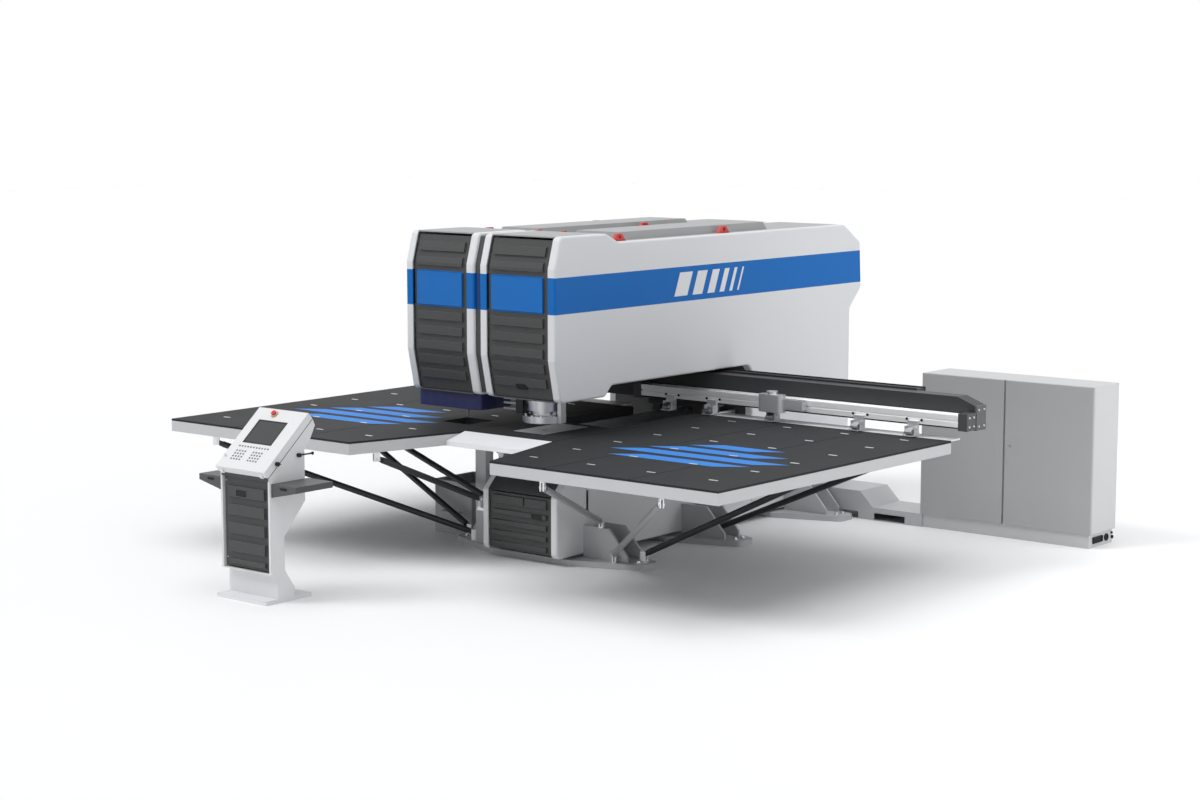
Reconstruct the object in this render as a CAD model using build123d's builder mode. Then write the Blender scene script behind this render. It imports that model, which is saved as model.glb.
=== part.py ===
# Punch-laser combination machine: a C-frame with a punch arm and a laser arm side by side,
# two sheet tables, a cross beam that moves the sheet, a switch cabinet and an operator console.
# The origin is on the floor under the punch axis. X runs along the cross beam, Y to the rear, Z up.
import os
from math import hypot

from build123d import *

os.makedirs("parts", exist_ok=True)

# Clearances and cut lengths
seat_gap = 0.3
hinge_gap = 0.5
door_gap = 10
cut_over = 20

# C-frame, welded from thick plates, and the lighter frame of the laser arm beside it
foot_plate_t = 45
frame_half_w = 290
frame_plate_t = 60
frame_web_t = 40
frame_front_y = -70
frame_rear_gap = 95
frame_throat_y = 2300
frame_throat_r = 110
lower_arm_top_z = 860
upper_arm_bottom_z = 1400
frame_top_gap = 70
upper_arm_front_y = 190
laser_frame_half_w = 200
laser_plate_t = 30

# Sheet-metal hoods round the two arms, seen from the side
arm_half_w = 385
arm_gap = 63
laser_arm_w = 726
arm_front_y = -320
arm_top_z = 2530
arm_high_drop = 243
arm_low_z = 1590
arm_floor_z = 1262
arm_nose_set = 70
nose_rear_y = 283
nose_step = 84
throat_rear_y = 2231
throat_corner = 60
panel_foot_z = 60
column_rear_y = 3695
shoulder_drop = 812
shoulder_set = 178
rear_high_drop = 229
rear_lean = 26
rear_top_set = 104
deck_drop = 70
deck_front_y = 300
deck_slope = 150
panel_wall = 10
panel_flange = 72
panel_round = 18
corner_round = 45

# Hatches and lifting lugs on the hood decks
hatch_side_gap = 145
hatch_front_y = 620
hatch_rear_y = 2620
hatch_h = 62
hatch_edge = 24
lug_t = 30
lug_len = 150
lug_h = 58
lug_hole_r = 17
lug_ys = (560, 1930)
lug_side_gap = 100

# Filler between the hoods
filler_recess = 25
filler_t = 6

# Ribbed front doors: a bent back sheet with raised pads
door_recess = 20
door_sheet_t = 22
pad_proud = 18
pad_pitch = 117
pad_groove = 30
pad_bevel = 10
pad_side_gap = 46
stripe_drop = 307
stripe_h = 280
door_end_gap = 14

# Flush pull latches in the doors
latch_w = 110
latch_h = 46
latch_pocket = 15
latch_recess = 2
latch_t = 6
latch_side_gap = 3
latch_round = 8
hood_latch_z = 1365
base_latch_x = 177
base_latch_z = 370
console_latch_x = -631
console_latch_z = 770

# Lower cladding of the C-frame
base_front_y = -302
base_bend_z = 540
base_lean = 180
base_top_z = 880
base_flange = 60
base_slot_y = 62
base_slot_z = 468
base_slot_w = 32
base_slot_h = 185
base_door_low_z = 80
base_door_pads = 4
base_pad_pitch = 84
keyhole_x = 45
keyhole_z = 476
keyhole_w = 16
keyhole_h = 66
keyhole_round = 7

# Feet with gussets
foot_ys = (115, 1364, 2810)
foot_tip_x = 973
foot_root_half = 300
foot_tip_half = 95
foot_tip_r = 70
gusset_half_gap = 95
gusset_t = 20
gusset_h = 245
gusset_toe_h = 45
gusset_reach = 435
gusset_crest = 255
anchor_hole_r = 11
anchor_inset = 85
anchor_half_gap = 48

# Sheet tables
table_top_z = 1000
table_half_len = 2750
table_front_y = -1425
table_rear_y = 1520
table_plate_t = 16
table_rim_h = 84
table_rim_w = 40
table_rib_w = 50
table_seam = 4
table_seam_shares = (0.34, 0.67)
table_rib_x_shares = (0.25, 0.5, 0.75)
table_rib_ys = (-700, -190, 190, 1260)
notch_front_half = 715
notch_rear_half = 450
notch_rear_y = -430
insert_len = 70
insert_w = 16
insert_h = 2.5
insert_x0 = 840
insert_end_gap = 290
insert_front_gap = 335
insert_rear_gap = 200
insert_columns = 4
insert_rows = 6

# Laser cut-out in the left table
laser_hole_half = 150

# Centre table with the open guide channel behind the die
channel_half = 330
channel_front_y = 425
channel_wall = 55
die_fit_gap = 3

# Sloping white apron in the front notch and the white strips behind the tables
apron_front_y = -600
apron_drop = 62
apron_t = 12
apron_lip = 38
apron_side_gap = 4
strip_inner_x = 490
strip_end_gap = 30
strip_w = 180
strip_t = 15

# Struts under the tables, each with an eye at both ends
strut_r = 24
strut_eye_t = 12
strut_eye_w = 40
strut_eye_len = 55
fork_t = 9
fork_w = 50
fork_over = 26
fork_pin_r = 12
fork_pin_len = 7
strut_pin_drop = 45
front_strut_gap = 30
front_strut_near_x = 1190
far_strut_end_gap = 500
brace_lower_x = 900
brace_end_gap = 330
brace_upper_y = 190
rear_brace_lower_x = 680
rear_brace_lower_y = 1330
rear_brace_end_gap = 340
rear_brace_upper_y = 1260
foot_pin_h = 62
gusset_pin_x = 560
gusset_pin_h = 42
outer_pin_x = 720
outer_pin_y = -32
inner_strut_lower_x = -430
inner_strut_upper_x = -671
inner_strut_upper_y = -1180
inner_strut_lower_z = 440
inner_strut_lower_y = -262
cross_strut_upper_x = -1600
cross_strut_y = -190
wall_shelf_t = 24

# Support post beside the laser cut-out
post_x = -600
post_y = -40
post_w = 110
post_d = 90

# Punch cylinder, head, tool ring, ram and stripper
cylinder_r = 150
cylinder_low_z = 1330
cylinder_high_z = 1900
cylinder_cap_h = 90
cylinder_cap_r = 105
cylinder_bracket_half = 170
cylinder_bracket_low_z = 1450
cylinder_bracket_high_z = 1820
flange_r = 140
flange_low_z = 1214
flange_neck_r = 110
tool_ring_r = 132
tool_ring_low_z = 1160
tool_neck_r = 98
tool_neck_low_z = 1124
tool_bore_r = 36
ram_r = 35.5
ram_shoulder_r = 27
ram_tip_z = 1060
ram_shoulder_z = 1118
stripper_r = 170
stripper_low_z = 1070
stripper_high_z = 1122
stripper_bore_r = 60
stripper_arm_x = 160
stripper_arm_w = 60
stripper_arm_t = 34
head_hole_r = 158

# Die holder with the turning die ring
die_half_w = 155
die_front_y = -190
die_rear_y = 350
die_top_z = 1001
die_ring_r = 110
die_ring_h = 60
die_bore_r = 32
die_scrap_r = 48

# Tool changer beside the punch head
changer_low_x = -250
changer_high_x = -178
changer_half_d = 55
changer_low_z = 1120
changer_rod_r = 9
changer_rod_len = 170
changer_rod_zs = (1140, 1185, 1222)

# Laser curtain, slide and cutting head
curtain_side_gap = 24
curtain_front_y = -225
curtain_rear_y = 165
curtain_low_z = 1135
curtain_t = 6
slide_half_w = 120
slide_t = 50
slide_low_z = 1420
slide_high_z = 2000
head_plate_half_w = 70
head_plate_t = 28
head_plate_low_z = 1470
head_plate_high_z = 1760
laser_body_r = 48
laser_body_low_z = 1180
laser_cone_z = 1098
laser_nozzle_r = 14
laser_tip_z = 1042
laser_hood_hole_half = 90

# Guide rails and saddle of the cross beam
guide_x = 220
guide_w = 35
guide_front_y = 360
guide_rear_y = 2190
rack_half_w = 18
rack_h = 26
saddle_half_w = 305
saddle_front_y = 1690
saddle_rear_y = 1930
saddle_low_z = 955
runner_w = 80
saddle_motor_half_w = 60
saddle_motor_len = 170
saddle_motor_h = 105
runner_lift = 15

# Cross beam, its end plates and the cable tray behind it
beam_half_len = 2845
beam_front_y = 1700
beam_rear_y = 1840
beam_low_z = 1065
beam_high_z = 1315
beam_wall = 12
beam_end_cut = 157
beam_end_drop = 60
beam_plate_t = 15
beam_guide_low_z = 1122
beam_guide_high_z = 1162
beam_guide_t = 9.7
beam_guide_end = 130
tray_end_gap = 605
tray_d = 130
tray_low_z = 1286
tray_h = 44
tray_wall = 4
chain_h = 30
chain_side_gap = 8

# Clamp rail that slides along the beam
rail_left_x = -280
rail_front_y = 1562
rail_rear_y = 1690
rail_low_z = 1098
rail_high_z = 1190
rail_lip = 16
rail_groove_z = 1136
rail_groove_w = 14
rail_groove_d = 12
rail_end_len = 80
rail_end_low_z = 1073
rail_end_high_z = 1206

# Sheet clamps along the rail
clamp_xs = (50, 474, 1903, 2395)
clamp_w = 90
clamp_cheek_t = 12
clamp_front_y = 1462
clamp_back_y = 1536
clamp_low_z = 1006
clamp_lip_t = 10
clamp_mouth = 10
clamp_high_z = 1120
jaw_t = 18
jaw_gap = 2
jaw_pin_y = 1520
jaw_pin_z = 1056
jaw_pin_r = 7
jaw_ear_r = 13
unit_x = 1095
unit_w = 230
unit_block_front_y = 1470
unit_block_low_z = 1080
unit_high_z = 1222
unit_round = 30
unit_cap_r = 45
unit_cap_h = 26
unit_box_len = 184
unit_box_front_y = 1500
unit_box_low_z = 1112

# Switch cabinet and its cable duct
cabinet_left_x = 1600
cabinet_right_x = 3178
cabinet_front_y = 2957
cabinet_d = 428
cabinet_low_z = 114
cabinet_high_z = 1299
cabinet_wall = 15
cabinet_door_t = 20
cabinet_door_gap = 3
cabinet_door_round = 5
cabinet_split_half = 7.5
cabinet_post_half = 30
plinth_inset = 18
cabinet_fold = 30
module_plate_t = 8
module_plate_inset = 60
module_stand_off = 40
module_d = 160
module_post_shares = (0.02, 0.98)
module_shares = (
    (0.05, 0.22, 0.58, 0.92),
    (0.27, 0.44, 0.58, 0.92),
    (0.52, 0.95, 0.66, 0.92),
    (0.05, 0.6, 0.1, 0.42),
)
duct_low_h = 110
duct_high_h = 240
duct_ramp_low_x = 1130
duct_ramp_high_x = 1000
duct_base_z = 60
duct_wall = 6
duct_foot_x = 985
duct_slot_low_x = 1144
duct_slot_end_gap = 150
duct_slot_h = 64

# Operator console
console_x = -588
console_w = 515
console_front_y = -2635
console_lid_z = 955
console_lid_rise = 381
console_lid_run = 436
lid_t = 60
lid_wall = 5
console_back_y = -2245
console_nape_y = -2137
console_nape_z = 1242
console_neck_y = -2184
console_neck_z = 1153
console_back_high_z = 1073
console_back_low_z = 711
console_shin_y = -2452
console_shin_high_z = 471
console_shin_low_z = 231
console_heel_y = -2362
console_heel_z = 96
console_toe_y = -2586
console_toe_z = 210
console_toe_set = 66
console_base_t = 30
console_base_front_y = -2640
console_base_rear_y = -2200
console_wall = 8
console_cheek = 18
console_door_low_z = 215
console_door_high_z = 884
console_pad_count = 5
console_pad_top_z = 827
console_pad_pitch = 133
console_pad_groove = 36
shelf_w = 250
shelf_front_y = -2570
shelf_rear_y = -2210
shelf_z = 868
shelf_t = 4
shelf_root_h = 100
shelf_tip_h = 44
shelf_slot_w = 70
shelf_slot_h = 16
screen_low_x = -745
screen_high_x = -465
screen_low_v = 253
screen_high_v = 457
screen_t = 5
screen_proud = 1
stop_x = -641
stop_v = 528
stop_r = 20
stop_h = 24
stop_stem_r = 12
stop_collar_r = 22
stop_collar_h = 8
stop_stroke = 6
key_x = -812
key_v = 101
key_r = 9
key_h = 7
key_bow = 16
knob_y = -2516
knob_z = 1005
knob_r = 16
knob_h = 20
lever_y = -2308
lever_z = 1045
lever_hub_r = 15
lever_hub_h = 24
lever_len = 130
lever_r = 6

# Scrap bin under the laser table
bin_low_x = -1400
bin_high_x = -990
bin_front_y = 230
bin_rear_y = 700
bin_h = 440
bin_wall = 5
bin_rim = 14
bin_handle_w = 190
bin_handle_r = 7
bin_handle_out = 38
bin_handle_z = 185

# Derived places
throat_z = arm_floor_z + nose_step
arm_high_z = arm_top_z - arm_high_drop
deck_z = arm_top_z - deck_drop
shoulder_z = arm_top_z - shoulder_drop
arm_rear_high_z = arm_top_z - rear_high_drop
arm_rear_top_y = column_rear_y - rear_top_set
stripe_high_z = arm_top_z - stripe_drop
stripe_low_z = stripe_high_z - stripe_h
upper_arm_top_z = deck_z - frame_top_gap
frame_rear_y = column_rear_y - frame_rear_gap
laser_right_x = -arm_half_w - arm_gap
laser_left_x = laser_right_x - laser_arm_w
laser_x = (laser_right_x + laser_left_x) / 2
table_plate_z = table_top_z - table_plate_t
table_low_z = table_plate_z - table_rim_h
arm_rear_y = column_rear_y + shoulder_set
hood_inner_half = arm_half_w - panel_flange
pad_recess = door_recess - pad_proud
laser_inner_half = laser_arm_w / 2 - panel_flange
corner = (Align.MIN, Align.MIN, Align.MIN)
lid_len = hypot(console_lid_run, console_lid_rise)
lid_cos = console_lid_run / lid_len
lid_sin = console_lid_rise / lid_len
front_strut_y = table_front_y + front_strut_gap
front_strut_far_x = table_half_len - far_strut_end_gap
brace_upper_x = table_half_len - brace_end_gap
rear_brace_upper_x = table_half_len - rear_brace_end_gap
strip_outer_x = table_half_len - strip_end_gap
rail_right_x = beam_half_len + beam_plate_t - rail_end_len
tray_half_len = beam_half_len - tray_end_gap
cabinet_rear_y = cabinet_front_y + cabinet_d
cabinet_split_x = (cabinet_left_x + cabinet_right_x) / 2 - cabinet_split_half
duct_slot_high_x = cabinet_left_x - duct_slot_end_gap
console_left_x = console_x - console_w / 2
console_right_x = console_x + console_w / 2


def keep(builder, name):
    builder.part.label = name
    export_step(builder.part, f"parts/{name}.step")


def block(low, high, mode=Mode.ADD):
    with Locations(low):
        Box(high[0] - low[0], high[1] - low[1], high[2] - low[2], align=corner, mode=mode)


# Side outline of a hood, as (Y, Z) points from the top front corner round to the deck
arm_points = [
    (arm_front_y + arm_nose_set, arm_top_z),
    (arm_front_y, arm_high_z),
    (arm_front_y, arm_low_z),
    (arm_front_y + arm_nose_set, arm_floor_z),
    (nose_rear_y, arm_floor_z),
    (nose_rear_y + nose_step, throat_z),
    (throat_rear_y - throat_corner, throat_z),
    (throat_rear_y, throat_z - throat_corner),
    (throat_rear_y, panel_foot_z),
    (column_rear_y, panel_foot_z),
    (column_rear_y, shoulder_z),
    (arm_rear_y, shoulder_z + shoulder_set),
    (arm_rear_y - rear_lean, arm_rear_high_z),
    (arm_rear_top_y, deck_z),
    (deck_front_y + deck_slope, deck_z),
    (deck_front_y, arm_top_z),
]
arm_front_line = [
    (arm_front_y + arm_nose_set, arm_floor_z),
    (arm_front_y, arm_low_z),
    (arm_front_y, arm_high_z),
    (arm_front_y + arm_nose_set, arm_top_z),
]
base_front_line = [
    (base_front_y, panel_foot_z),
    (base_front_y, base_bend_z),
    (base_front_y + base_lean, base_bend_z + base_lean),
]
base_points = base_front_line + [
    (base_front_y + base_lean, base_top_z),
    (throat_rear_y - seat_gap, base_top_z),
    (throat_rear_y - seat_gap, panel_foot_z),
]


# C-frame: two side plates with webs between them, open at the back
with BuildPart() as c_frame:
    with BuildSketch(Plane.YZ.offset(-frame_half_w)):
        with BuildLine():
            Polyline(
                (frame_front_y, foot_plate_t),
                (frame_rear_y, foot_plate_t),
                (frame_rear_y, upper_arm_top_z),
                (upper_arm_front_y, upper_arm_top_z),
                (upper_arm_front_y, upper_arm_bottom_z),
                (frame_throat_y, upper_arm_bottom_z),
                (frame_throat_y, lower_arm_top_z),
                (frame_front_y, lower_arm_top_z),
                close=True,
            )
        make_face()
    extrude(amount=2 * frame_half_w)
    cross_edges = c_frame.edges().filter_by(Axis.X)
    throat_edges = cross_edges.filter_by_position(Axis.Y, frame_throat_y, frame_throat_y)
    fillet(throat_edges, radius=frame_throat_r)
    with BuildSketch(Plane.YZ.offset(-frame_half_w + frame_plate_t)):
        with BuildLine():
            Polyline(
                (frame_front_y + frame_web_t, foot_plate_t + frame_web_t),
                (frame_rear_y + cut_over, foot_plate_t + frame_web_t),
                (frame_rear_y + cut_over, upper_arm_top_z - frame_web_t),
                (upper_arm_front_y + frame_web_t, upper_arm_top_z - frame_web_t),
                (upper_arm_front_y + frame_web_t, upper_arm_bottom_z + frame_web_t),
                (frame_throat_y + frame_throat_r, upper_arm_bottom_z + frame_web_t),
                (frame_throat_y + frame_throat_r, lower_arm_top_z - frame_web_t),
                (frame_front_y + frame_web_t, lower_arm_top_z - frame_web_t),
                close=True,
            )
        make_face()
    extrude(amount=2 * (frame_half_w - frame_plate_t), mode=Mode.SUBTRACT)
    with Locations((0, 0, lower_arm_top_z)):
        Cylinder(die_scrap_r, 2 * cut_over + frame_web_t * 2, mode=Mode.SUBTRACT)
keep(c_frame, "c_frame")

# Laser frame: box beam and column, open at the back, with the bolted slide for the cutting head
with BuildPart() as laser_frame:
    with BuildSketch(Plane.YZ.offset(laser_x - laser_frame_half_w)):
        with BuildLine():
            Polyline(
                (upper_arm_front_y, upper_arm_bottom_z),
                (frame_throat_y, upper_arm_bottom_z),
                (frame_throat_y, foot_plate_t),
                (frame_rear_y, foot_plate_t),
                (frame_rear_y, upper_arm_top_z),
                (upper_arm_front_y, upper_arm_top_z),
                close=True,
            )
        make_face()
    extrude(amount=2 * laser_frame_half_w)
    with BuildSketch(Plane.YZ.offset(laser_x - laser_frame_half_w + laser_plate_t)):
        with BuildLine():
            Polyline(
                (upper_arm_front_y + frame_web_t, upper_arm_bottom_z + frame_web_t),
                (frame_throat_y + frame_web_t, upper_arm_bottom_z + frame_web_t),
                (frame_throat_y + frame_web_t, foot_plate_t + frame_web_t),
                (frame_rear_y + cut_over, foot_plate_t + frame_web_t),
                (frame_rear_y + cut_over, upper_arm_top_z - frame_web_t),
                (upper_arm_front_y + frame_web_t, upper_arm_top_z - frame_web_t),
                close=True,
            )
        make_face()
    extrude(amount=2 * (laser_frame_half_w - laser_plate_t), mode=Mode.SUBTRACT)
    block(
        (laser_x - slide_half_w, upper_arm_front_y - slide_t, slide_low_z),
        (laser_x + slide_half_w, upper_arm_front_y, slide_high_z),
    )
keep(laser_frame, "laser_frame")


# A folded panel: a flat skin with a flange turned in all round its rim
def folded_panel(points, skin_x, turn, flange):
    with BuildPart() as panel:
        with BuildSketch(Plane.YZ.offset(skin_x)) as outline:
            with BuildLine():
                Polyline(*points, close=True)
            make_face()
            fillet(outline.vertices(), radius=corner_round)
        extrude(amount=turn * flange)
        skin = panel.faces().sort_by(Axis.X)[0 if turn > 0 else -1]
        fillet(skin.outer_wire().edges(), radius=panel_round)
        with BuildSketch(Plane.YZ.offset(skin_x + turn * panel_wall)) as hollow:
            with BuildLine():
                Polyline(*points, close=True)
            make_face()
            fillet(hollow.vertices(), radius=corner_round)
            offset(amount=-panel_wall, mode=Mode.REPLACE)
        extrude(amount=turn * flange, mode=Mode.SUBTRACT)
    return panel


# Hood side panels: the two that show, and the pair that faces the gap between the arms
arm_side_right = folded_panel(arm_points, arm_half_w, -1, panel_flange)
keep(arm_side_right, "arm_side_right")
arm_side_left = folded_panel(arm_points, laser_left_x, 1, panel_flange)
keep(arm_side_left, "arm_side_left")
punch_inner_side = folded_panel(arm_points, -arm_half_w, 1, panel_flange)
laser_inner_side = folded_panel(arm_points, laser_right_x, -1, panel_flange)
with BuildPart() as arm_inner_sides:
    add(punch_inner_side.part)
    add(laser_inner_side.part)
keep(arm_inner_sides, "arm_inner_sides")


# A sheet that follows the hood outline between two side panels, cut away inside some boxes
def hood_sheet(low_x, high_x, cut_boxes):
    with BuildPart() as sheet:
        with BuildSketch(Plane.YZ.offset(low_x)):
            with BuildLine():
                Polyline(*arm_points, close=True)
            make_face()
            offset(amount=-panel_wall, kind=Kind.INTERSECTION, mode=Mode.SUBTRACT)
        extrude(amount=high_x - low_x)
        for (low_y, low_z), (high_y, high_z) in cut_boxes:
            block((low_x, low_y, low_z), (high_x, high_y, high_z), mode=Mode.SUBTRACT)
    return sheet


nose_y = arm_front_y + arm_nose_set
far_front_y = arm_front_y - cut_over
far_rear_y = arm_rear_y + cut_over
far_top_z = arm_top_z + cut_over
front_cut = ((far_front_y, 0), (nose_y, far_top_z))
door_rear_y = nose_y + door_recess + door_sheet_t
cover_cuts = [front_cut, ((far_front_y, 0), (frame_rear_y, arm_rear_high_z))]
cover_cuts += [((far_front_y, 0), (door_rear_y, arm_top_z - panel_wall))]
floor_cuts = [front_cut, ((far_front_y, upper_arm_bottom_z), (far_rear_y, far_top_z))]
floor_cuts += [((far_front_y, arm_floor_z + panel_wall), (door_rear_y, far_top_z))]
floor_cuts += [((frame_throat_y, 0), (far_rear_y, far_top_z))]
hood_spans = [
    (-hood_inner_half + seat_gap, hood_inner_half - seat_gap, base_top_z),
    (laser_x - laser_inner_half + seat_gap, laser_x + laser_inner_half - seat_gap, panel_foot_z + panel_wall),
]

# Hood covers: one long sheet over each deck and down the back, with a raised hatch pan
with BuildPart() as arm_covers:
    for low_x, high_x, foot_z in hood_spans:
        add(hood_sheet(low_x, high_x, cover_cuts).part)
        hatch_middle = ((low_x + high_x) / 2, (hatch_front_y + hatch_rear_y) / 2)
        hatch_w = high_x - low_x - 2 * (hatch_side_gap - panel_flange)
        hatch_len = hatch_rear_y - hatch_front_y
        with BuildSketch(Plane.XY.offset(deck_z)):
            with Locations(hatch_middle):
                Rectangle(hatch_w, hatch_len)
        with BuildSketch(Plane.XY.offset(deck_z + hatch_h)):
            with Locations(hatch_middle):
                Rectangle(hatch_w - 2 * hatch_edge, hatch_len - 2 * hatch_edge)
        loft()
keep(arm_covers, "arm_covers")

# Lifting lugs on the decks beside the hatches
with BuildPart() as lifting_lugs:
    for low_x, high_x, foot_z in hood_spans:
        for lug_x in (low_x + lug_side_gap - panel_flange, high_x - lug_side_gap + panel_flange):
            for lug_y in lug_ys:
                with BuildSketch(Plane.YZ.offset(lug_x - lug_t / 2)):
                    with BuildLine():
                        Polyline(
                            (lug_y - lug_len / 2, deck_z),
                            (lug_y + lug_len / 2, deck_z),
                            (lug_y + lug_h / 2, deck_z + lug_h),
                            (lug_y - lug_h / 2, deck_z + lug_h),
                            close=True,
                        )
                    make_face()
                    with Locations((lug_y, deck_z + lug_h / 2)):
                        Circle(lug_hole_r, mode=Mode.SUBTRACT)
                extrude(amount=lug_t)
keep(lifting_lugs, "lifting_lugs")

# Hood floors: the undersides of the arms and the walls at the back of the throat
with BuildPart() as arm_floors:
    for low_x, high_x, foot_z in hood_spans:
        add(hood_sheet(low_x, high_x, floor_cuts + [((far_front_y, 0), (far_rear_y, foot_z))]).part)
    with Locations((0, 0, arm_floor_z)):
        Cylinder(head_hole_r, 2 * cut_over, mode=Mode.SUBTRACT)
    block(
        (laser_x - laser_hood_hole_half, -laser_hood_hole_half, arm_floor_z - cut_over),
        (laser_x + laser_hood_hole_half, laser_hood_hole_half, arm_floor_z + cut_over),
        mode=Mode.SUBTRACT,
    )
keep(arm_floors, "arm_floors")

# Filler strip between the hoods, a closed loop set back from their rims
with BuildPart() as hood_filler:
    with BuildSketch(Plane.YZ.offset(laser_right_x + seat_gap)):
        with BuildLine():
            Polyline(*arm_points, close=True)
        make_face()
        offset(amount=-filler_recess, kind=Kind.INTERSECTION, mode=Mode.REPLACE)
        offset(amount=-filler_t, kind=Kind.INTERSECTION, mode=Mode.SUBTRACT)
    extrude(amount=arm_gap - 2 * seat_gap)
keep(hood_filler, "hood_filler")


# Depth of a front line at a given height, the plane that lies on it there, and a band of it
def line_y(line, z):
    for (low_y, low_z), (high_y, high_z) in zip(line, line[1:]):
        if z <= high_z:
            return low_y + (high_y - low_y) * (z - low_z) / (high_z - low_z)
    return line[-1][0]


def line_plane(line, x, z, depth):
    for (low_y, low_z), (high_y, high_z) in zip(line, line[1:]):
        if z <= high_z:
            outward = Vector(0, low_z - high_z, high_y - low_y).normalized()
            return Plane(origin=(x, line_y(line, z) + depth, z), x_dir=(1, 0, 0), z_dir=outward)


def line_band(line, low_z, high_z, depth):
    bends = [(y, z) for y, z in line if low_z < z < high_z]
    ends_low = [(line_y(line, low_z), low_z)]
    ends_high = [(line_y(line, high_z), high_z)]
    return [(y + depth, z) for y, z in ends_low + bends + ends_high]


# Lower cladding: side panels of the base with ventilation slots, and the sloping front sheet
base_right = folded_panel(base_points, arm_half_w, -1, base_flange)
base_left = folded_panel(base_points, -arm_half_w, 1, base_flange)
visor_half = arm_half_w - base_flange - seat_gap
with BuildPart() as base_sides:
    add(base_right.part)
    add(base_left.part)
    with BuildSketch(Plane.YZ.offset(-arm_half_w - cut_over)):
        with Locations((base_slot_y, base_slot_z)):
            SlotOverall(base_slot_h, base_slot_w, rotation=90)
    extrude(amount=2 * (arm_half_w + cut_over), mode=Mode.SUBTRACT)
    with BuildSketch(Plane.YZ.offset(-visor_half)):
        visor_high_z = base_bend_z + base_lean
        visor_front = line_band(base_front_line, base_bend_z, visor_high_z, pad_recess)
        visor_back = line_band(base_front_line, base_bend_z, visor_high_z, pad_recess + door_sheet_t)
        with BuildLine():
            Polyline(*visor_front, *reversed(visor_back), close=True)
        make_face()
    extrude(amount=2 * visor_half)
keep(base_sides, "base_sides")


# A ribbed door: a bent sheet behind a front line, with raised pads between grooves, cut pockets
# and a hinge barrel along the upright part of one edge
def ribbed_door(line, low_x, high_x, low_z, high_z, pads, pockets, hinge_side):
    barrel_r = door_sheet_t / 2
    sheet_low_x = low_x + barrel_r if hinge_side < 0 else low_x
    sheet_high_x = high_x - barrel_r if hinge_side > 0 else high_x
    hinge_x = sheet_low_x if hinge_side < 0 else sheet_high_x
    with BuildPart() as door:
        with BuildSketch(Plane.YZ.offset(sheet_low_x)):
            front = line_band(line, low_z, high_z, door_recess)
            back = line_band(line, low_z, high_z, door_recess + door_sheet_t)
            with BuildLine():
                Polyline(*front, *reversed(back), close=True)
            make_face()
        extrude(amount=sheet_high_x - sheet_low_x)
        for (low_y, foot_z), (high_y, head_z) in zip(line, line[1:]):
            if low_y == high_y:
                barrel_low_z = max(foot_z, low_z)
                with Locations((hinge_x, low_y + door_recess + barrel_r, barrel_low_z)):
                    barrel_len = min(head_z, high_z) - barrel_low_z
                    Cylinder(barrel_r, barrel_len, align=(Align.CENTER, Align.CENTER, Align.MIN))
        for pad_low, pad_high in pads:
            with BuildSketch(Plane.YZ.offset(low_x + pad_side_gap)):
                root = line_band(line, pad_low, pad_high, door_recess + door_sheet_t / 2)
                crest = line_band(line, pad_low + pad_bevel, pad_high - pad_bevel, pad_recess)
                with BuildLine():
                    Polyline(*crest, *reversed(root), close=True)
                make_face()
            extrude(amount=high_x - low_x - 2 * pad_side_gap)
        for x, z, width, height, radius in pockets:
            with BuildSketch(line_plane(line, x, z, pad_recess)):
                RectangleRounded(width, height, radius)
            extrude(amount=-latch_pocket, mode=Mode.SUBTRACT)
    return door


# A flush pull latch: a rounded paddle that hangs from a pivot bar at the top of its pocket
def latch_paddle(line, x, z):
    plane = line_plane(line, x, z, pad_recess).offset(-latch_recess)
    paddle_w = latch_w - 2 * latch_side_gap
    pivot_r = latch_t / 2
    pivot_v = latch_h / 2 - seat_gap - pivot_r
    paddle_low_v = latch_side_gap - latch_h / 2
    with BuildPart() as paddle:
        with BuildSketch(plane):
            with Locations((0, (paddle_low_v + pivot_v) / 2)):
                RectangleRounded(paddle_w, pivot_v - paddle_low_v, latch_round)
        extrude(amount=-latch_t)
        pivot_end = plane.from_local_coords((latch_round - paddle_w / 2, pivot_v, -pivot_r))
        with BuildSketch(Plane(pivot_end, z_dir=(1, 0, 0))):
            Circle(pivot_r)
        extrude(amount=paddle_w - 2 * latch_round)
    return paddle


# Hood doors: one tall pad at stripe height, with even pads above and below it
hood_door_low_z = arm_floor_z + door_end_gap
hood_door_high_z = arm_top_z - 2 * door_end_gap
hood_pads = [(stripe_low_z, stripe_high_z)]
pad_top = stripe_low_z - pad_groove
while pad_top - pad_pitch > hood_door_low_z:
    hood_pads.append((pad_top - pad_pitch + pad_groove, pad_top))
    pad_top -= pad_pitch
pad_bottom = stripe_high_z + pad_groove
while pad_bottom + pad_pitch < hood_door_high_z + pad_groove:
    hood_pads.append((pad_bottom, pad_bottom + pad_pitch - pad_groove))
    pad_bottom += pad_pitch
hood_door_right = ribbed_door(
    arm_front_line,
    -hood_inner_half + hinge_gap,
    hood_inner_half - door_gap,
    hood_door_low_z,
    hood_door_high_z,
    hood_pads,
    [(0, hood_latch_z, latch_w, latch_h, latch_round)],
    -1,
)
keep(hood_door_right, "hood_door_right")
hood_door_left = ribbed_door(
    arm_front_line,
    laser_x - laser_inner_half + hinge_gap,
    laser_x + laser_inner_half - door_gap,
    hood_door_low_z,
    hood_door_high_z,
    hood_pads,
    [],
    -1,
)
keep(hood_door_left, "hood_door_left")
hood_latch = latch_paddle(arm_front_line, 0, hood_latch_z)
keep(hood_latch, "hood_latch")

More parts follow.
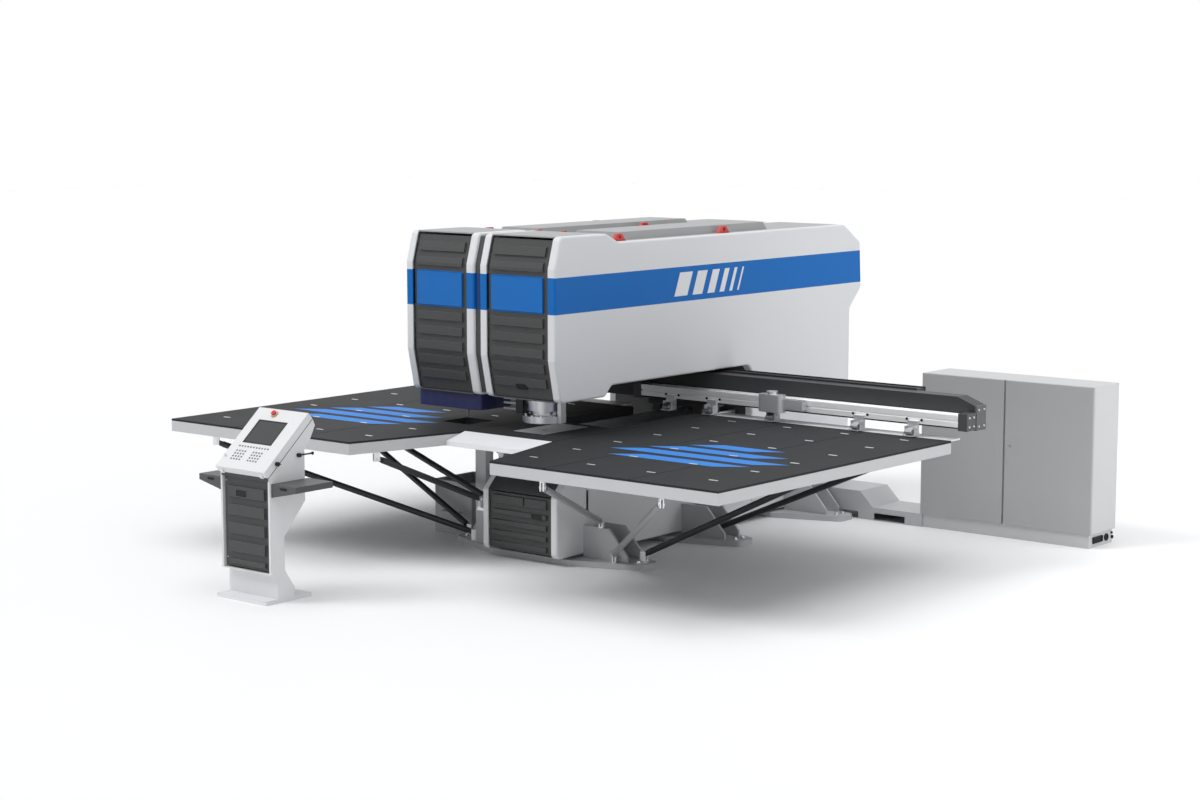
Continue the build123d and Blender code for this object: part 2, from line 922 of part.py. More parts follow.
# Base door: ribbed below, smooth above, with a keyhole slot
base_pads = []
for step in range(base_door_pads):
    pad_low = base_door_low_z + door_end_gap + step * base_pad_pitch
    base_pads.append((pad_low, pad_low + base_pad_pitch - pad_groove))
base_pads.append((base_pads[-1][1] + pad_groove, base_bend_z - 2 * door_end_gap))
base_door = ribbed_door(
    base_front_line,
    -arm_half_w + base_flange + hinge_gap,
    arm_half_w - base_flange - door_gap,
    base_door_low_z,
    base_bend_z - door_end_gap,
    base_pads,
    [
        (base_latch_x, base_latch_z, latch_w, latch_h, latch_round),
        (keyhole_x, keyhole_z, keyhole_w, keyhole_h, keyhole_round),
    ],
    -1,
)
keep(base_door, "base_door")
base_latch = latch_paddle(base_front_line, base_latch_x, base_latch_z)
keep(base_latch, "base_latch")

# Cross feet: tapered floor plates under the frames with anchor holes, and gussets where they stand free
with BuildPart() as feet:
    for foot_y in foot_ys:
        with BuildSketch(Plane.XY) as foot_outline:
            with BuildLine():
                Polyline(
                    (-arm_half_w, foot_y - foot_root_half),
                    (arm_half_w, foot_y - foot_root_half),
                    (foot_tip_x, foot_y - foot_tip_half),
                    (foot_tip_x, foot_y + foot_tip_half),
                    (arm_half_w, foot_y + foot_root_half),
                    (-arm_half_w, foot_y + foot_root_half),
                    (-foot_tip_x, foot_y + foot_tip_half),
                    (-foot_tip_x, foot_y - foot_tip_half),
                    close=True,
                )
            make_face()
            for tip_x in (-foot_tip_x, foot_tip_x):
                fillet(foot_outline.vertices().filter_by_position(Axis.X, tip_x, tip_x), radius=foot_tip_r)
            with Locations((0, foot_y)):
                with GridLocations(2 * (foot_tip_x - anchor_inset), 2 * anchor_half_gap, 2, 2):
                    Circle(anchor_hole_r, mode=Mode.SUBTRACT)
        extrude(amount=foot_plate_t)
        free_sides = (1,) if foot_y > throat_rear_y else (-1, 1)
        for side in free_sides:
            root_x = side * (arm_half_w + seat_gap)
            for gusset_y in (foot_y - gusset_half_gap, foot_y + gusset_half_gap):
                with BuildSketch(Plane.XZ.offset(-gusset_y - gusset_t / 2)):
                    with BuildLine():
                        Polyline(
                            (root_x, foot_plate_t),
                            (root_x + side * gusset_reach, foot_plate_t),
                            (root_x + side * gusset_reach, foot_plate_t + gusset_toe_h),
                            (root_x + side * gusset_crest, foot_plate_t + gusset_h),
                            (root_x, foot_plate_t + gusset_h),
                            close=True,
                        )
                    make_face()
                extrude(amount=gusset_t)
keep(feet, "feet")


# Plan outline of one sheet table, on the right for side 1 and on the left for side -1
def table_outline(side):
    return [
        (side * notch_front_half, table_front_y),
        (side * table_half_len, table_front_y),
        (side * table_half_len, table_rear_y),
        (side * notch_rear_half, table_rear_y),
        (side * notch_rear_half, notch_rear_y),
    ]


table_len = table_half_len - notch_rear_half
table_depth = table_rear_y - table_front_y
table_middle_y = (table_front_y + table_rear_y) / 2
laser_hole_low = (laser_x - laser_hole_half, -laser_hole_half, table_low_z - cut_over)
laser_hole_high = (laser_x + laser_hole_half, laser_hole_half, table_top_z + cut_over)

# Table frames: a welded rim with cross ribs
with BuildPart() as table_frames:
    for side in (-1, 1):
        with BuildSketch(Plane.XY.offset(table_low_z)):
            with BuildLine():
                Polyline(*table_outline(side), close=True)
            make_face()
            offset(amount=-table_rim_w, kind=Kind.INTERSECTION, mode=Mode.SUBTRACT)
        extrude(amount=table_rim_h)
        with BuildSketch(Plane.XY.offset(table_low_z)):
            for share in table_rib_x_shares:
                with Locations((side * (notch_rear_half + share * table_len), table_middle_y)):
                    Rectangle(table_rib_w, table_depth - table_rim_w)
            for rib_y in table_rib_ys:
                with Locations((side * (notch_rear_half + table_len / 2), rib_y)):
                    Rectangle(table_len - table_rim_w, table_rib_w)
        extrude(amount=table_rim_h)
    with BuildSketch(Plane.XY.offset(table_low_z)):
        with BuildLine():
            Polyline(
                (-notch_front_half, table_front_y),
                (notch_front_half, table_front_y),
                (notch_rear_half, notch_rear_y),
                (-notch_rear_half, notch_rear_y),
                close=True,
            )
        make_face()
    extrude(amount=table_rim_h, mode=Mode.SUBTRACT)
    block(laser_hole_low, laser_hole_high, mode=Mode.SUBTRACT)
keep(table_frames, "table_frames")

# Table plates: three dark sheets on each frame, one of them cut out for the laser
with BuildPart() as table_plates:
    for side in (-1, 1):
        with BuildSketch(Plane.XY.offset(table_plate_z)):
            with BuildLine():
                Polyline(*table_outline(side), close=True)
            make_face()
            for share in table_seam_shares:
                with Locations((side * (notch_rear_half + share * table_len), table_middle_y)):
                    Rectangle(table_seam, table_depth + cut_over, mode=Mode.SUBTRACT)
        extrude(amount=table_plate_t)
    block(laser_hole_low, laser_hole_high, mode=Mode.SUBTRACT)
keep(table_plates, "table_plates")

# Centre table: a plate on two long bars, with the die cut-out and the guide channel
center_half = notch_rear_half - table_seam
with BuildPart() as center_table:
    block((-center_half, notch_rear_y, table_plate_z), (center_half, table_rear_y, table_top_z))
    block(
        (-channel_half, channel_front_y, table_plate_z),
        (channel_half, table_rear_y, table_top_z),
        mode=Mode.SUBTRACT,
    )
    block(
        (-die_half_w - die_fit_gap, die_front_y - die_fit_gap, table_plate_z),
        (die_half_w + die_fit_gap, die_rear_y + die_fit_gap, table_top_z),
        mode=Mode.SUBTRACT,
    )
    for wall_x in (-channel_half - channel_wall, channel_half):
        block(
            (wall_x, base_front_y + base_lean, base_top_z),
            (wall_x + channel_wall, table_rear_y, table_plate_z),
        )
keep(center_table, "center_table")

# Brush-strip inserts on the table plates in an even grid
insert_y0 = table_front_y + insert_front_gap
insert_pitch_x = (table_half_len - insert_end_gap - insert_x0) / (insert_columns - 1)
insert_pitch_y = (table_rear_y - insert_rear_gap - insert_y0) / (insert_rows - 1)
insert_places = []
for side in (-1, 1):
    for column in range(insert_columns):
        for row in range(insert_rows):
            insert_x = side * (insert_x0 + column * insert_pitch_x)
            insert_y = insert_y0 + row * insert_pitch_y
            beside_hole = abs(insert_x - laser_x) > laser_hole_half + insert_len
            if beside_hole or abs(insert_y) > laser_hole_half + insert_len:
                insert_places.append((insert_x, insert_y, table_top_z))
with BuildPart() as table_inserts:
    with Locations(insert_places):
        Box(insert_len, insert_w, insert_h, align=(Align.CENTER, Align.CENTER, Align.MIN))
keep(table_inserts, "table_inserts")

# Aprons: a sloping folded sheet in the front notch, and the support strips behind the tables
apron_run = notch_rear_y - apron_front_y
apron_spread = (notch_front_half - notch_rear_half) * apron_run / (notch_rear_y - table_front_y)
apron_rear_half = notch_rear_half - apron_side_gap
apron_lip_z = table_top_z - apron_drop - apron_lip
with BuildPart() as table_aprons:
    with BuildSketch(Plane.YZ.offset(-notch_front_half)):
        with BuildLine():
            Polyline(
                (notch_rear_y - seat_gap, table_top_z),
                (apron_front_y, table_top_z - apron_drop),
                (apron_front_y, apron_lip_z),
                (apron_front_y + apron_t, apron_lip_z),
                (apron_front_y + apron_t, table_top_z - apron_drop - apron_t),
                (notch_rear_y - seat_gap, table_top_z - apron_t),
                close=True,
            )
        make_face()
    extrude(amount=2 * notch_front_half)
    with BuildSketch(Plane.XY.offset(apron_lip_z)):
        with BuildLine():
            Polyline(
                (-apron_rear_half, notch_rear_y),
                (apron_rear_half, notch_rear_y),
                (apron_rear_half + apron_spread, apron_front_y),
                (-apron_rear_half - apron_spread, apron_front_y),
                close=True,
            )
        make_face()
    extrude(amount=table_top_z - apron_lip_z, mode=Mode.INTERSECT)
    for low_x, high_x in ((-strip_outer_x, -strip_inner_x), (strip_inner_x, strip_outer_x)):
        block(
            (low_x, table_rear_y + seat_gap, table_top_z - strip_t),
            (high_x, table_rear_y + strip_w, table_top_z),
        )
keep(table_aprons, "table_aprons")


# A strut: a round tube with a flat eye at each end, between two pin points
def strut(lower, upper):
    run = Vector(*upper) - Vector(*lower)
    across = Vector(-run.Y, run.X, 0).normalized()
    with BuildPart() as bar:
        with BuildSketch(Plane(origin=lower, x_dir=across, z_dir=run.normalized()).offset(strut_eye_len)):
            Circle(strut_r)
        extrude(amount=run.length - 2 * strut_eye_len)
        with BuildSketch(Plane(origin=lower, x_dir=run.normalized(), z_dir=across).offset(-strut_eye_t / 2)):
            with Locations((run.length / 2, 0)):
                SlotOverall(run.length + strut_eye_w, strut_eye_w)
        extrude(amount=strut_eye_t)
    return bar.part


# A fork that holds a strut's eye: two plates with pin heads on a foot that rests at base_z
def fork(pin, other, base_z):
    run = Vector(*other) - Vector(*pin)
    across = Vector(-run.Y, run.X, 0).normalized()
    along = Vector(0, 0, 1).cross(across)
    standing = base_z < pin[2]
    low = base_z - pin[2] if standing else -fork_over
    high = fork_over if standing else base_z - pin[2]
    cheek = strut_eye_t / 2 + seat_gap
    with BuildPart() as pair:
        for side in (-1, 1):
            with BuildSketch(Plane(origin=pin, x_dir=along, z_dir=across).offset(side * cheek)):
                with Locations((0, (low + high) / 2)):
                    Rectangle(fork_w, high - low)
            extrude(amount=side * fork_t)
            with BuildSketch(Plane(origin=pin, x_dir=along, z_dir=across).offset(side * (cheek + fork_t))):
                Circle(fork_pin_r)
            extrude(amount=side * fork_pin_len)
        with BuildSketch(Plane(origin=(pin[0], pin[1], base_z), x_dir=along, z_dir=(0, 0, 1))):
            Rectangle(fork_w, 2 * (cheek + fork_t))
        extrude(amount=fork_t if standing else -fork_t)
    return pair.part


# Struts: grey pair to the front rim on the right, black braces outwards on both sides
front_gusset_y = foot_ys[0] - gusset_half_gap
foot_pin_z = foot_plate_t + foot_pin_h
gusset_top_z = foot_plate_t + gusset_h
gusset_pin_z = gusset_top_z + gusset_pin_h
rim_pin_z = table_low_z - strut_pin_drop
shelf_top_z = inner_strut_lower_z - foot_pin_h
near_strut = ((gusset_pin_x, front_gusset_y, gusset_pin_z), (front_strut_near_x, front_strut_y, rim_pin_z))
far_strut = ((outer_pin_x, outer_pin_y, foot_pin_z), (front_strut_far_x, front_strut_y, rim_pin_z))
near_brace = ((brace_lower_x, foot_ys[0], foot_pin_z), (brace_upper_x, brace_upper_y, rim_pin_z))
rear_brace = (
    (rear_brace_lower_x, rear_brace_lower_y, foot_pin_z),
    (rear_brace_upper_x, rear_brace_upper_y, rim_pin_z),
)
inner_strut = (
    (inner_strut_lower_x, inner_strut_lower_y, inner_strut_lower_z),
    (inner_strut_upper_x, inner_strut_upper_y, rim_pin_z),
)
cross_strut = (
    (inner_strut_lower_x, cross_strut_y, inner_strut_lower_z),
    (cross_strut_upper_x, cross_strut_y, rim_pin_z),
)


def mirrored(pins):
    return tuple((-x, y, z) for x, y, z in pins)


grey_pins = [near_strut, far_strut]
left_pins = [mirrored(far_strut), mirrored(near_brace), mirrored(rear_brace)]
black_pins = [near_brace, rear_brace] + left_pins + [inner_strut, cross_strut]
with BuildPart() as struts_grey:
    for lower, upper in grey_pins:
        add(strut(lower, upper))
keep(struts_grey, "struts_grey")
with BuildPart() as struts_black:
    for lower, upper in black_pins:
        add(strut(lower, upper))
keep(struts_black, "struts_black")

# Forks of the struts, and the wall shelves under the two that start at the base
fork_feet = {near_strut: gusset_top_z, inner_strut: shelf_top_z, cross_strut: shelf_top_z}
with BuildPart() as strut_forks:
    for lower, upper in grey_pins + black_pins:
        add(fork(lower, upper, fork_feet.get((lower, upper), foot_plate_t)))
        add(fork(upper, lower, table_low_z))
    for shelf_y in (inner_strut_lower_y, cross_strut_y):
        block(
            (inner_strut_lower_x - fork_w / 2, shelf_y - fork_w / 2, shelf_top_z - wall_shelf_t),
            (-arm_half_w - seat_gap, shelf_y + fork_w / 2, shelf_top_z),
        )
keep(strut_forks, "strut_forks")

# Support post under the left table, standing on the front foot
with BuildPart() as support_post:
    block(
        (post_x - post_w / 2, post_y - post_d / 2, foot_plate_t),
        (post_x + post_w / 2, post_y + post_d / 2, table_plate_z),
    )
keep(support_post, "support_post")


# A cylinder between two heights on a vertical axis
def turned(x, y, radius, low_z, high_z, mode=Mode.ADD):
    with Locations((x, y, low_z)):
        Cylinder(radius, high_z - low_z, align=(Align.CENTER, Align.CENTER, Align.MIN), mode=mode)


# Punch cylinder bolted to the front of the upper arm
with BuildPart() as punch_cylinder:
    turned(0, 0, cylinder_r, cylinder_low_z, cylinder_high_z)
    turned(0, 0, cylinder_cap_r, cylinder_high_z, cylinder_high_z + cylinder_cap_h)
    block(
        (-cylinder_bracket_half, 0, cylinder_bracket_low_z),
        (cylinder_bracket_half, upper_arm_front_y, cylinder_bracket_high_z),
    )
keep(punch_cylinder, "punch_cylinder")

# Punch flange that closes the cylinder below the hood
with BuildPart() as punch_flange:
    turned(0, 0, flange_neck_r, arm_floor_z, cylinder_low_z)
    turned(0, 0, flange_r, flange_low_z, arm_floor_z)
keep(punch_flange, "punch_flange")

# Tool ring that turns the punch, and the ram that strikes through it
tool_ring_top_z = flange_low_z - seat_gap
with BuildPart() as tool_ring:
    turned(0, 0, tool_ring_r, tool_ring_low_z, tool_ring_top_z)
    turned(0, 0, tool_neck_r, tool_neck_low_z, tool_ring_low_z)
    turned(0, 0, tool_bore_r, tool_neck_low_z, tool_ring_top_z, mode=Mode.SUBTRACT)
keep(tool_ring, "tool_ring")
with BuildPart() as punch_ram:
    turned(0, 0, ram_r, ram_shoulder_z, tool_ring_top_z)
    turned(0, 0, ram_shoulder_r, ram_tip_z, ram_shoulder_z)
keep(punch_ram, "punch_ram")

# Stripper ring under the tool, hung from the hood floor by a bracket on its right
with BuildPart() as stripper_ring:
    turned(0, 0, stripper_r, stripper_low_z, stripper_high_z)
    turned(0, 0, stripper_bore_r, stripper_low_z, stripper_high_z, mode=Mode.SUBTRACT)
    block(
        (stripper_arm_x, -stripper_arm_w / 2, stripper_low_z),
        (stripper_arm_x + stripper_arm_t, stripper_arm_w / 2, arm_floor_z - seat_gap),
    )
keep(stripper_ring, "stripper_ring")

# Die holder on the lower arm, with the turning die ring let into it
with BuildPart() as die_holder:
    block((-die_half_w, die_front_y, lower_arm_top_z), (die_half_w, die_rear_y, die_top_z))
    turned(0, 0, die_ring_r + hinge_gap, die_top_z - die_ring_h, die_top_z, mode=Mode.SUBTRACT)
    turned(0, 0, die_scrap_r, lower_arm_top_z, die_top_z, mode=Mode.SUBTRACT)
keep(die_holder, "die_holder")
with BuildPart() as die_ring:
    turned(0, 0, die_ring_r, die_top_z - die_ring_h + seat_gap, die_top_z)
    turned(0, 0, die_bore_r, die_top_z - die_ring_h + seat_gap, die_top_z, mode=Mode.SUBTRACT)
keep(die_ring, "die_ring")

# Tool changer: a block under the hood floor with three rods to the left
with BuildPart() as tool_changer:
    block(
        (changer_low_x, -changer_half_d, changer_low_z),
        (changer_high_x, changer_half_d, arm_floor_z - seat_gap),
    )
    for rod_z in changer_rod_zs:
        with Locations((changer_low_x - changer_rod_len / 2, 0, rod_z)):
            Cylinder(changer_rod_r, changer_rod_len, rotation=(0, 90, 0))
keep(tool_changer, "tool_changer")

# Laser curtain: a skirt that hangs round the cutting head
curtain_w = laser_arm_w - 2 * curtain_side_gap
with BuildPart() as laser_curtain:
    with BuildSketch(Plane.XY.offset(curtain_low_z)):
        with Locations((laser_x, (curtain_front_y + curtain_rear_y) / 2)):
            RectangleRounded(curtain_w, curtain_rear_y - curtain_front_y, corner_round)
        offset(amount=-curtain_t, mode=Mode.SUBTRACT)
    extrude(amount=arm_floor_z - seat_gap - curtain_low_z)
keep(laser_curtain, "laser_curtain")

# Laser cutting head: a slide plate, an arm and the turned body with its cone and nozzle
head_plate_rear_y = upper_arm_front_y - slide_t - seat_gap
with BuildPart() as laser_head:
    block(
        (laser_x - head_plate_half_w, head_plate_rear_y - head_plate_t, head_plate_low_z),
        (laser_x + head_plate_half_w, head_plate_rear_y, head_plate_high_z),
    )
    block(
        (laser_x - laser_body_r, 0, head_plate_low_z),
        (laser_x + laser_body_r, head_plate_rear_y - head_plate_t, head_plate_low_z + 2 * laser_body_r),
    )
    turned(laser_x, 0, laser_body_r, laser_body_low_z, head_plate_low_z + 2 * laser_body_r)
    with Locations((laser_x, 0, laser_cone_z)):
        Cone(
            2 * laser_nozzle_r,
            laser_body_r,
            laser_body_low_z - laser_cone_z,
            align=(Align.CENTER, Align.CENTER, Align.MIN),
        )
    with Locations((laser_x, 0, laser_tip_z)):
        Cone(
            laser_nozzle_r / 2,
            laser_nozzle_r,
            laser_cone_z - laser_tip_z,
            align=(Align.CENTER, Align.CENTER, Align.MIN),
        )
keep(laser_head, "laser_head")

# Guide rails and rack for the cross beam, on top of the lower arm
guide_top_z = saddle_low_z - seat_gap
with BuildPart() as y_guides:
    for rail_x in (-guide_x, guide_x):
        block(
            (rail_x - guide_w / 2, guide_front_y, lower_arm_top_z),
            (rail_x + guide_w / 2, guide_rear_y, guide_top_z),
        )
    block(
        (-rack_half_w, guide_front_y, lower_arm_top_z),
        (rack_half_w, guide_rear_y, lower_arm_top_z + rack_h),
    )
keep(y_guides, "y_guides")

# Saddle: two runners over the rails, a bridge plate under the beam and the drive motor behind
runner_top_z = table_top_z + runner_lift
with BuildPart() as beam_saddle:
    for rail_x in (-guide_x, guide_x):
        block(
            (rail_x - runner_w / 2, saddle_front_y, saddle_low_z),
            (rail_x + runner_w / 2, saddle_rear_y, runner_top_z),
        )
    block((-saddle_half_w, saddle_front_y, runner_top_z), (saddle_half_w, saddle_rear_y, beam_low_z))
    block(
        (-saddle_motor_half_w, saddle_rear_y, beam_low_z - saddle_motor_h),
        (saddle_motor_half_w, saddle_rear_y + saddle_motor_len, beam_low_z),
    )
keep(beam_saddle, "beam_saddle")

# Cross beam: a box section with sloped upper ends and a guide strip on its front
with BuildPart() as x_beam:
    with BuildSketch(Plane.XZ.offset(-beam_rear_y)):
        with BuildLine():
            Polyline(
                (-beam_half_len, beam_low_z),
                (beam_half_len, beam_low_z),
                (beam_half_len, beam_high_z - beam_end_drop),
                (beam_half_len - beam_end_cut, beam_high_z),
                (-beam_half_len + beam_end_cut, beam_high_z),
                (-beam_half_len, beam_high_z - beam_end_drop),
                close=True,
            )
        make_face()
    extrude(amount=beam_rear_y - beam_front_y)
    block(
        (-beam_half_len, beam_front_y + beam_wall, beam_low_z + beam_wall),
        (beam_half_len, beam_rear_y - beam_wall, beam_high_z - beam_end_drop - beam_wall),
        mode=Mode.SUBTRACT,
    )
    guide_half_len = beam_half_len - beam_guide_end
    block(
        (-guide_half_len, beam_front_y - beam_guide_t, beam_guide_low_z),
        (guide_half_len, beam_front_y, beam_guide_high_z),
    )
keep(x_beam, "x_beam")

# End plates that close the beam
plate_middle = ((beam_front_y + beam_rear_y) / 2, (beam_low_z + beam_high_z - beam_end_drop) / 2)
with BuildPart() as beam_ends:
    for end_x in (-beam_half_len - beam_plate_t, beam_half_len):
        with BuildSketch(Plane.YZ.offset(end_x)):
            with Locations(plate_middle):
                Rectangle(beam_rear_y - beam_front_y, beam_high_z - beam_end_drop - beam_low_z)
        extrude(amount=beam_plate_t)
keep(beam_ends, "beam_ends")

# Cable tray on the back of the beam, with the cable chain lying in it
tray_rear_y = beam_rear_y + tray_d
with BuildPart() as cable_tray:
    block((-tray_half_len, beam_rear_y, tray_low_z), (tray_half_len, tray_rear_y, tray_low_z + tray_h))
    block(
        (-tray_half_len, beam_rear_y + tray_wall, tray_low_z + tray_wall),
        (tray_half_len, tray_rear_y - tray_wall, tray_low_z + tray_h),
        mode=Mode.SUBTRACT,
    )
    block(
        (-tray_half_len, beam_rear_y + tray_wall + chain_side_gap, tray_low_z + tray_wall),
        (tray_half_len, tray_rear_y - tray_wall - chain_side_gap, tray_low_z + tray_wall + chain_h),
    )
keep(cable_tray, "cable_tray")

# Clamp rail: a solid profile with a lip along its top and a groove along its front
with BuildPart() as clamp_rail:
    block((rail_left_x, rail_front_y, rail_low_z), (rail_right_x, rail_rear_y, rail_high_z))
    block(
        (rail_left_x, rail_front_y, rail_groove_z),
        (rail_right_x, rail_front_y + rail_groove_d, rail_groove_z + rail_groove_w),
        mode=Mode.SUBTRACT,
    )
    block(
        (rail_left_x, rail_front_y + rail_lip, rail_high_z - rail_groove_d),
        (rail_right_x, rail_rear_y - rail_lip, rail_high_z),
        mode=Mode.SUBTRACT,
    )
keep(clamp_rail, "clamp_rail")

# Dark blocks that close the ends of the clamp rail
with BuildPart() as rail_ends:
    for end_x in (rail_left_x - rail_end_len, rail_right_x):
        with BuildSketch(Plane.YZ.offset(end_x)):
            with Locations(((rail_front_y + rail_rear_y) / 2, (rail_end_low_z + rail_end_high_z) / 2)):
                Rectangle(rail_rear_y - rail_front_y, rail_end_high_z - rail_end_low_z)
        extrude(amount=rail_end_len)
keep(rail_ends, "rail_ends")

# Clamp bodies: a back block, a lower lip and two cheeks each, and the gripper unit with its cap
jaw_places = list(clamp_xs) + [unit_x]
cheek_front_y = jaw_pin_y - 2 * jaw_ear_r
with BuildPart() as clamp_bodies:
    for clamp_x in jaw_places:
        low_x = clamp_x - clamp_w / 2
        high_x = clamp_x + clamp_w / 2
        block((low_x, clamp_back_y, clamp_low_z), (high_x, rail_front_y, clamp_high_z))
        block((low_x, clamp_front_y, clamp_low_z), (high_x, clamp_back_y, clamp_low_z + clamp_lip_t))
        for cheek_x in (low_x, high_x - clamp_cheek_t):
            block(
                (cheek_x, cheek_front_y, clamp_low_z + clamp_lip_t),
                (cheek_x + clamp_cheek_t, clamp_back_y, jaw_pin_z + 2 * jaw_ear_r),
            )
        with Locations((clamp_x, jaw_pin_y, jaw_pin_z)):
            Cylinder(jaw_pin_r + seat_gap, clamp_w, rotation=(0, 90, 0), mode=Mode.SUBTRACT)
    with BuildSketch(Plane.XY.offset(unit_block_low_z)):
        with Locations((unit_x, (unit_block_front_y + rail_front_y) / 2)):
            RectangleRounded(unit_w, rail_front_y - unit_block_front_y, unit_round)
    extrude(amount=unit_high_z - unit_block_low_z)
    turned(unit_x, (unit_block_front_y + rail_front_y) / 2, unit_cap_r, unit_high_z, unit_high_z + unit_cap_h)
    block(
        (unit_x + unit_w / 2 - unit_round, unit_box_front_y, unit_box_low_z),
        (unit_x + unit_w / 2 + unit_box_len, rail_front_y, rail_high_z),
    )
keep(clamp_bodies, "clamp_bodies")

# Clamp jaws: bent fingers between the cheeks, on stub pins
jaw_w = clamp_w - 2 * (clamp_cheek_t + jaw_gap)
jaw_low_z = clamp_low_z + clamp_lip_t + clamp_mouth
with BuildPart() as clamp_jaws:
    for clamp_x in jaw_places:
        with BuildSketch(Plane.YZ.offset(clamp_x - jaw_w / 2)):
            with BuildLine():
                Polyline(
                    (clamp_front_y, jaw_low_z),
                    (jaw_pin_y, jaw_low_z),
                    (jaw_pin_y, jaw_pin_z + jaw_ear_r),
                    (jaw_pin_y - jaw_ear_r, jaw_pin_z + jaw_ear_r),
                    (clamp_front_y, jaw_low_z + jaw_t),
                    close=True,
                )
            make_face()
            with Locations((jaw_pin_y, jaw_pin_z)):
                Circle(jaw_ear_r)
        extrude(amount=jaw_w)
        with Locations((clamp_x, jaw_pin_y, jaw_pin_z)):
            Cylinder(jaw_pin_r, clamp_w, rotation=(0, 90, 0))
keep(clamp_jaws, "clamp_jaws")

# Switch cabinet: a deep steel box on a plinth, open at the front, with a middle post
cabinet_inner_y = cabinet_front_y + cabinet_door_t + cabinet_door_gap
with BuildPart() as cabinet_body:
    block(
        (cabinet_left_x, cabinet_inner_y, cabinet_low_z),
        (cabinet_right_x, cabinet_rear_y, cabinet_high_z),
    )
    block(
        (cabinet_left_x + cabinet_wall, cabinet_inner_y, cabinet_low_z + cabinet_wall),
        (cabinet_right_x - cabinet_wall, cabinet_rear_y - cabinet_wall, cabinet_high_z - cabinet_wall),
        mode=Mode.SUBTRACT,
    )
    block(
        (cabinet_split_x - cabinet_post_half, cabinet_inner_y, cabinet_low_z),
        (cabinet_split_x + cabinet_post_half, cabinet_inner_y + cabinet_wall, cabinet_high_z),
    )
    block(
        (cabinet_left_x + plinth_inset, cabinet_front_y + plinth_inset, 0),
        (cabinet_right_x - plinth_inset, cabinet_rear_y - plinth_inset, cabinet_low_z),
    )
    plinth_wall = plinth_inset + cabinet_fold
    block(
        (cabinet_left_x + plinth_wall, cabinet_front_y + plinth_wall, 0),
        (cabinet_right_x - plinth_wall, cabinet_rear_y - plinth_wall, cabinet_low_z),
        mode=Mode.SUBTRACT,
    )
keep(cabinet_body, "cabinet_body")


# A cabinet door: a shallow pan with its edges turned back
def cabinet_door(low_x, high_x):
    low = (low_x, cabinet_front_y, cabinet_low_z)
    high = (high_x, cabinet_front_y + cabinet_door_t, cabinet_high_z)
    with BuildPart() as door:
        block(low, high)
        front = door.faces().sort_by(Axis.Y)[0]
        fillet(front.edges(), radius=cabinet_door_round)
        block(
            (low_x + cabinet_fold, cabinet_front_y + cabinet_door_t / 2, cabinet_low_z + cabinet_fold),
            (high_x - cabinet_fold, cabinet_front_y + cabinet_door_t, cabinet_high_z - cabinet_fold),
            mode=Mode.SUBTRACT,
        )
    return door


cabinet_door_left = cabinet_door(cabinet_left_x, cabinet_split_x - cabinet_split_half)
keep(cabinet_door_left, "cabinet_door_left")
cabinet_door_right = cabinet_door(cabinet_split_x + cabinet_split_half, cabinet_right_x)
keep(cabinet_door_right, "cabinet_door_right")

# Cabinet modules: a mounting plate off the back wall with plain device boxes on it
plate_rear_y = cabinet_rear_y - cabinet_wall - module_stand_off
plate_front_y = plate_rear_y - module_plate_t
plate_low = (cabinet_left_x + module_plate_inset, plate_front_y, cabinet_low_z + module_plate_inset)
plate_high = (cabinet_right_x - module_plate_inset, plate_rear_y, cabinet_high_z - module_plate_inset)
with BuildPart() as cabinet_modules:
    block(plate_low, plate_high)
    for post_share_x in module_post_shares:
        for post_share_z in module_post_shares:
            stand_x = plate_low[0] + post_share_x * (plate_high[0] - plate_low[0])
            stand_z = plate_low[2] + post_share_z * (plate_high[2] - plate_low[2])
            with Locations((stand_x, plate_rear_y + module_stand_off / 2, stand_z)):
                Cylinder(module_plate_t, module_stand_off, rotation=(90, 0, 0))
    for low_x_share, high_x_share, low_z_share, high_z_share in module_shares:
        block(
            (
                plate_low[0] + low_x_share * (plate_high[0] - plate_low[0]),
                plate_low[1] - module_d,
                plate_low[2] + low_z_share * (plate_high[2] - plate_low[2]),
            ),
            (
                plate_low[0] + high_x_share * (plate_high[0] - plate_low[0]),
                plate_low[1],
                plate_low[2] + high_z_share * (plate_high[2] - plate_low[2]),
            ),
        )
keep(cabinet_modules, "cabinet_modules")

# Cable duct from the cabinet to the column, with a ramp and a low slot in its front
with BuildPart() as cable_duct:
    for inset, mode in ((0, Mode.ADD), (duct_wall, Mode.SUBTRACT)):
        with BuildSketch(Plane.XZ.offset(-cabinet_rear_y + inset)):
            with BuildLine():
                Polyline(
                    (cabinet_left_x + plinth_inset - seat_gap, 0),
                    (cabinet_left_x + plinth_inset - seat_gap, duct_low_h),
                    (duct_ramp_low_x, duct_low_h),
                    (duct_ramp_high_x, duct_high_h),
                    (arm_half_w + seat_gap, duct_high_h),
                    (arm_half_w + seat_gap, duct_base_z),
                    (duct_foot_x, duct_base_z),
                    (duct_foot_x, 0),
                    close=True,
                )
            make_face()
            if inset:
                offset(amount=-inset, kind=Kind.INTERSECTION, mode=Mode.REPLACE)
        extrude(amount=cabinet_rear_y - cabinet_front_y - 2 * inset, mode=mode)
    block(
        (duct_slot_low_x, cabinet_front_y, 0),
        (duct_slot_high_x, cabinet_front_y + duct_wall, duct_slot_h),
        mode=Mode.SUBTRACT,
    )
keep(cable_duct, "cable_duct")


# A point on the console's panel: v along the slope from its front edge, h out of the panel, as (Y, Z)
def on_panel(v, h):
    return (console_front_y + v * lid_cos - h * lid_sin, console_lid_z + v * lid_sin + h * lid_cos)


def panel_plane(x, v, h):
    y, z = on_panel(v, h)
    return Plane(origin=(x, y, z), x_dir=(1, 0, 0), z_dir=(0, -lid_sin, lid_cos))


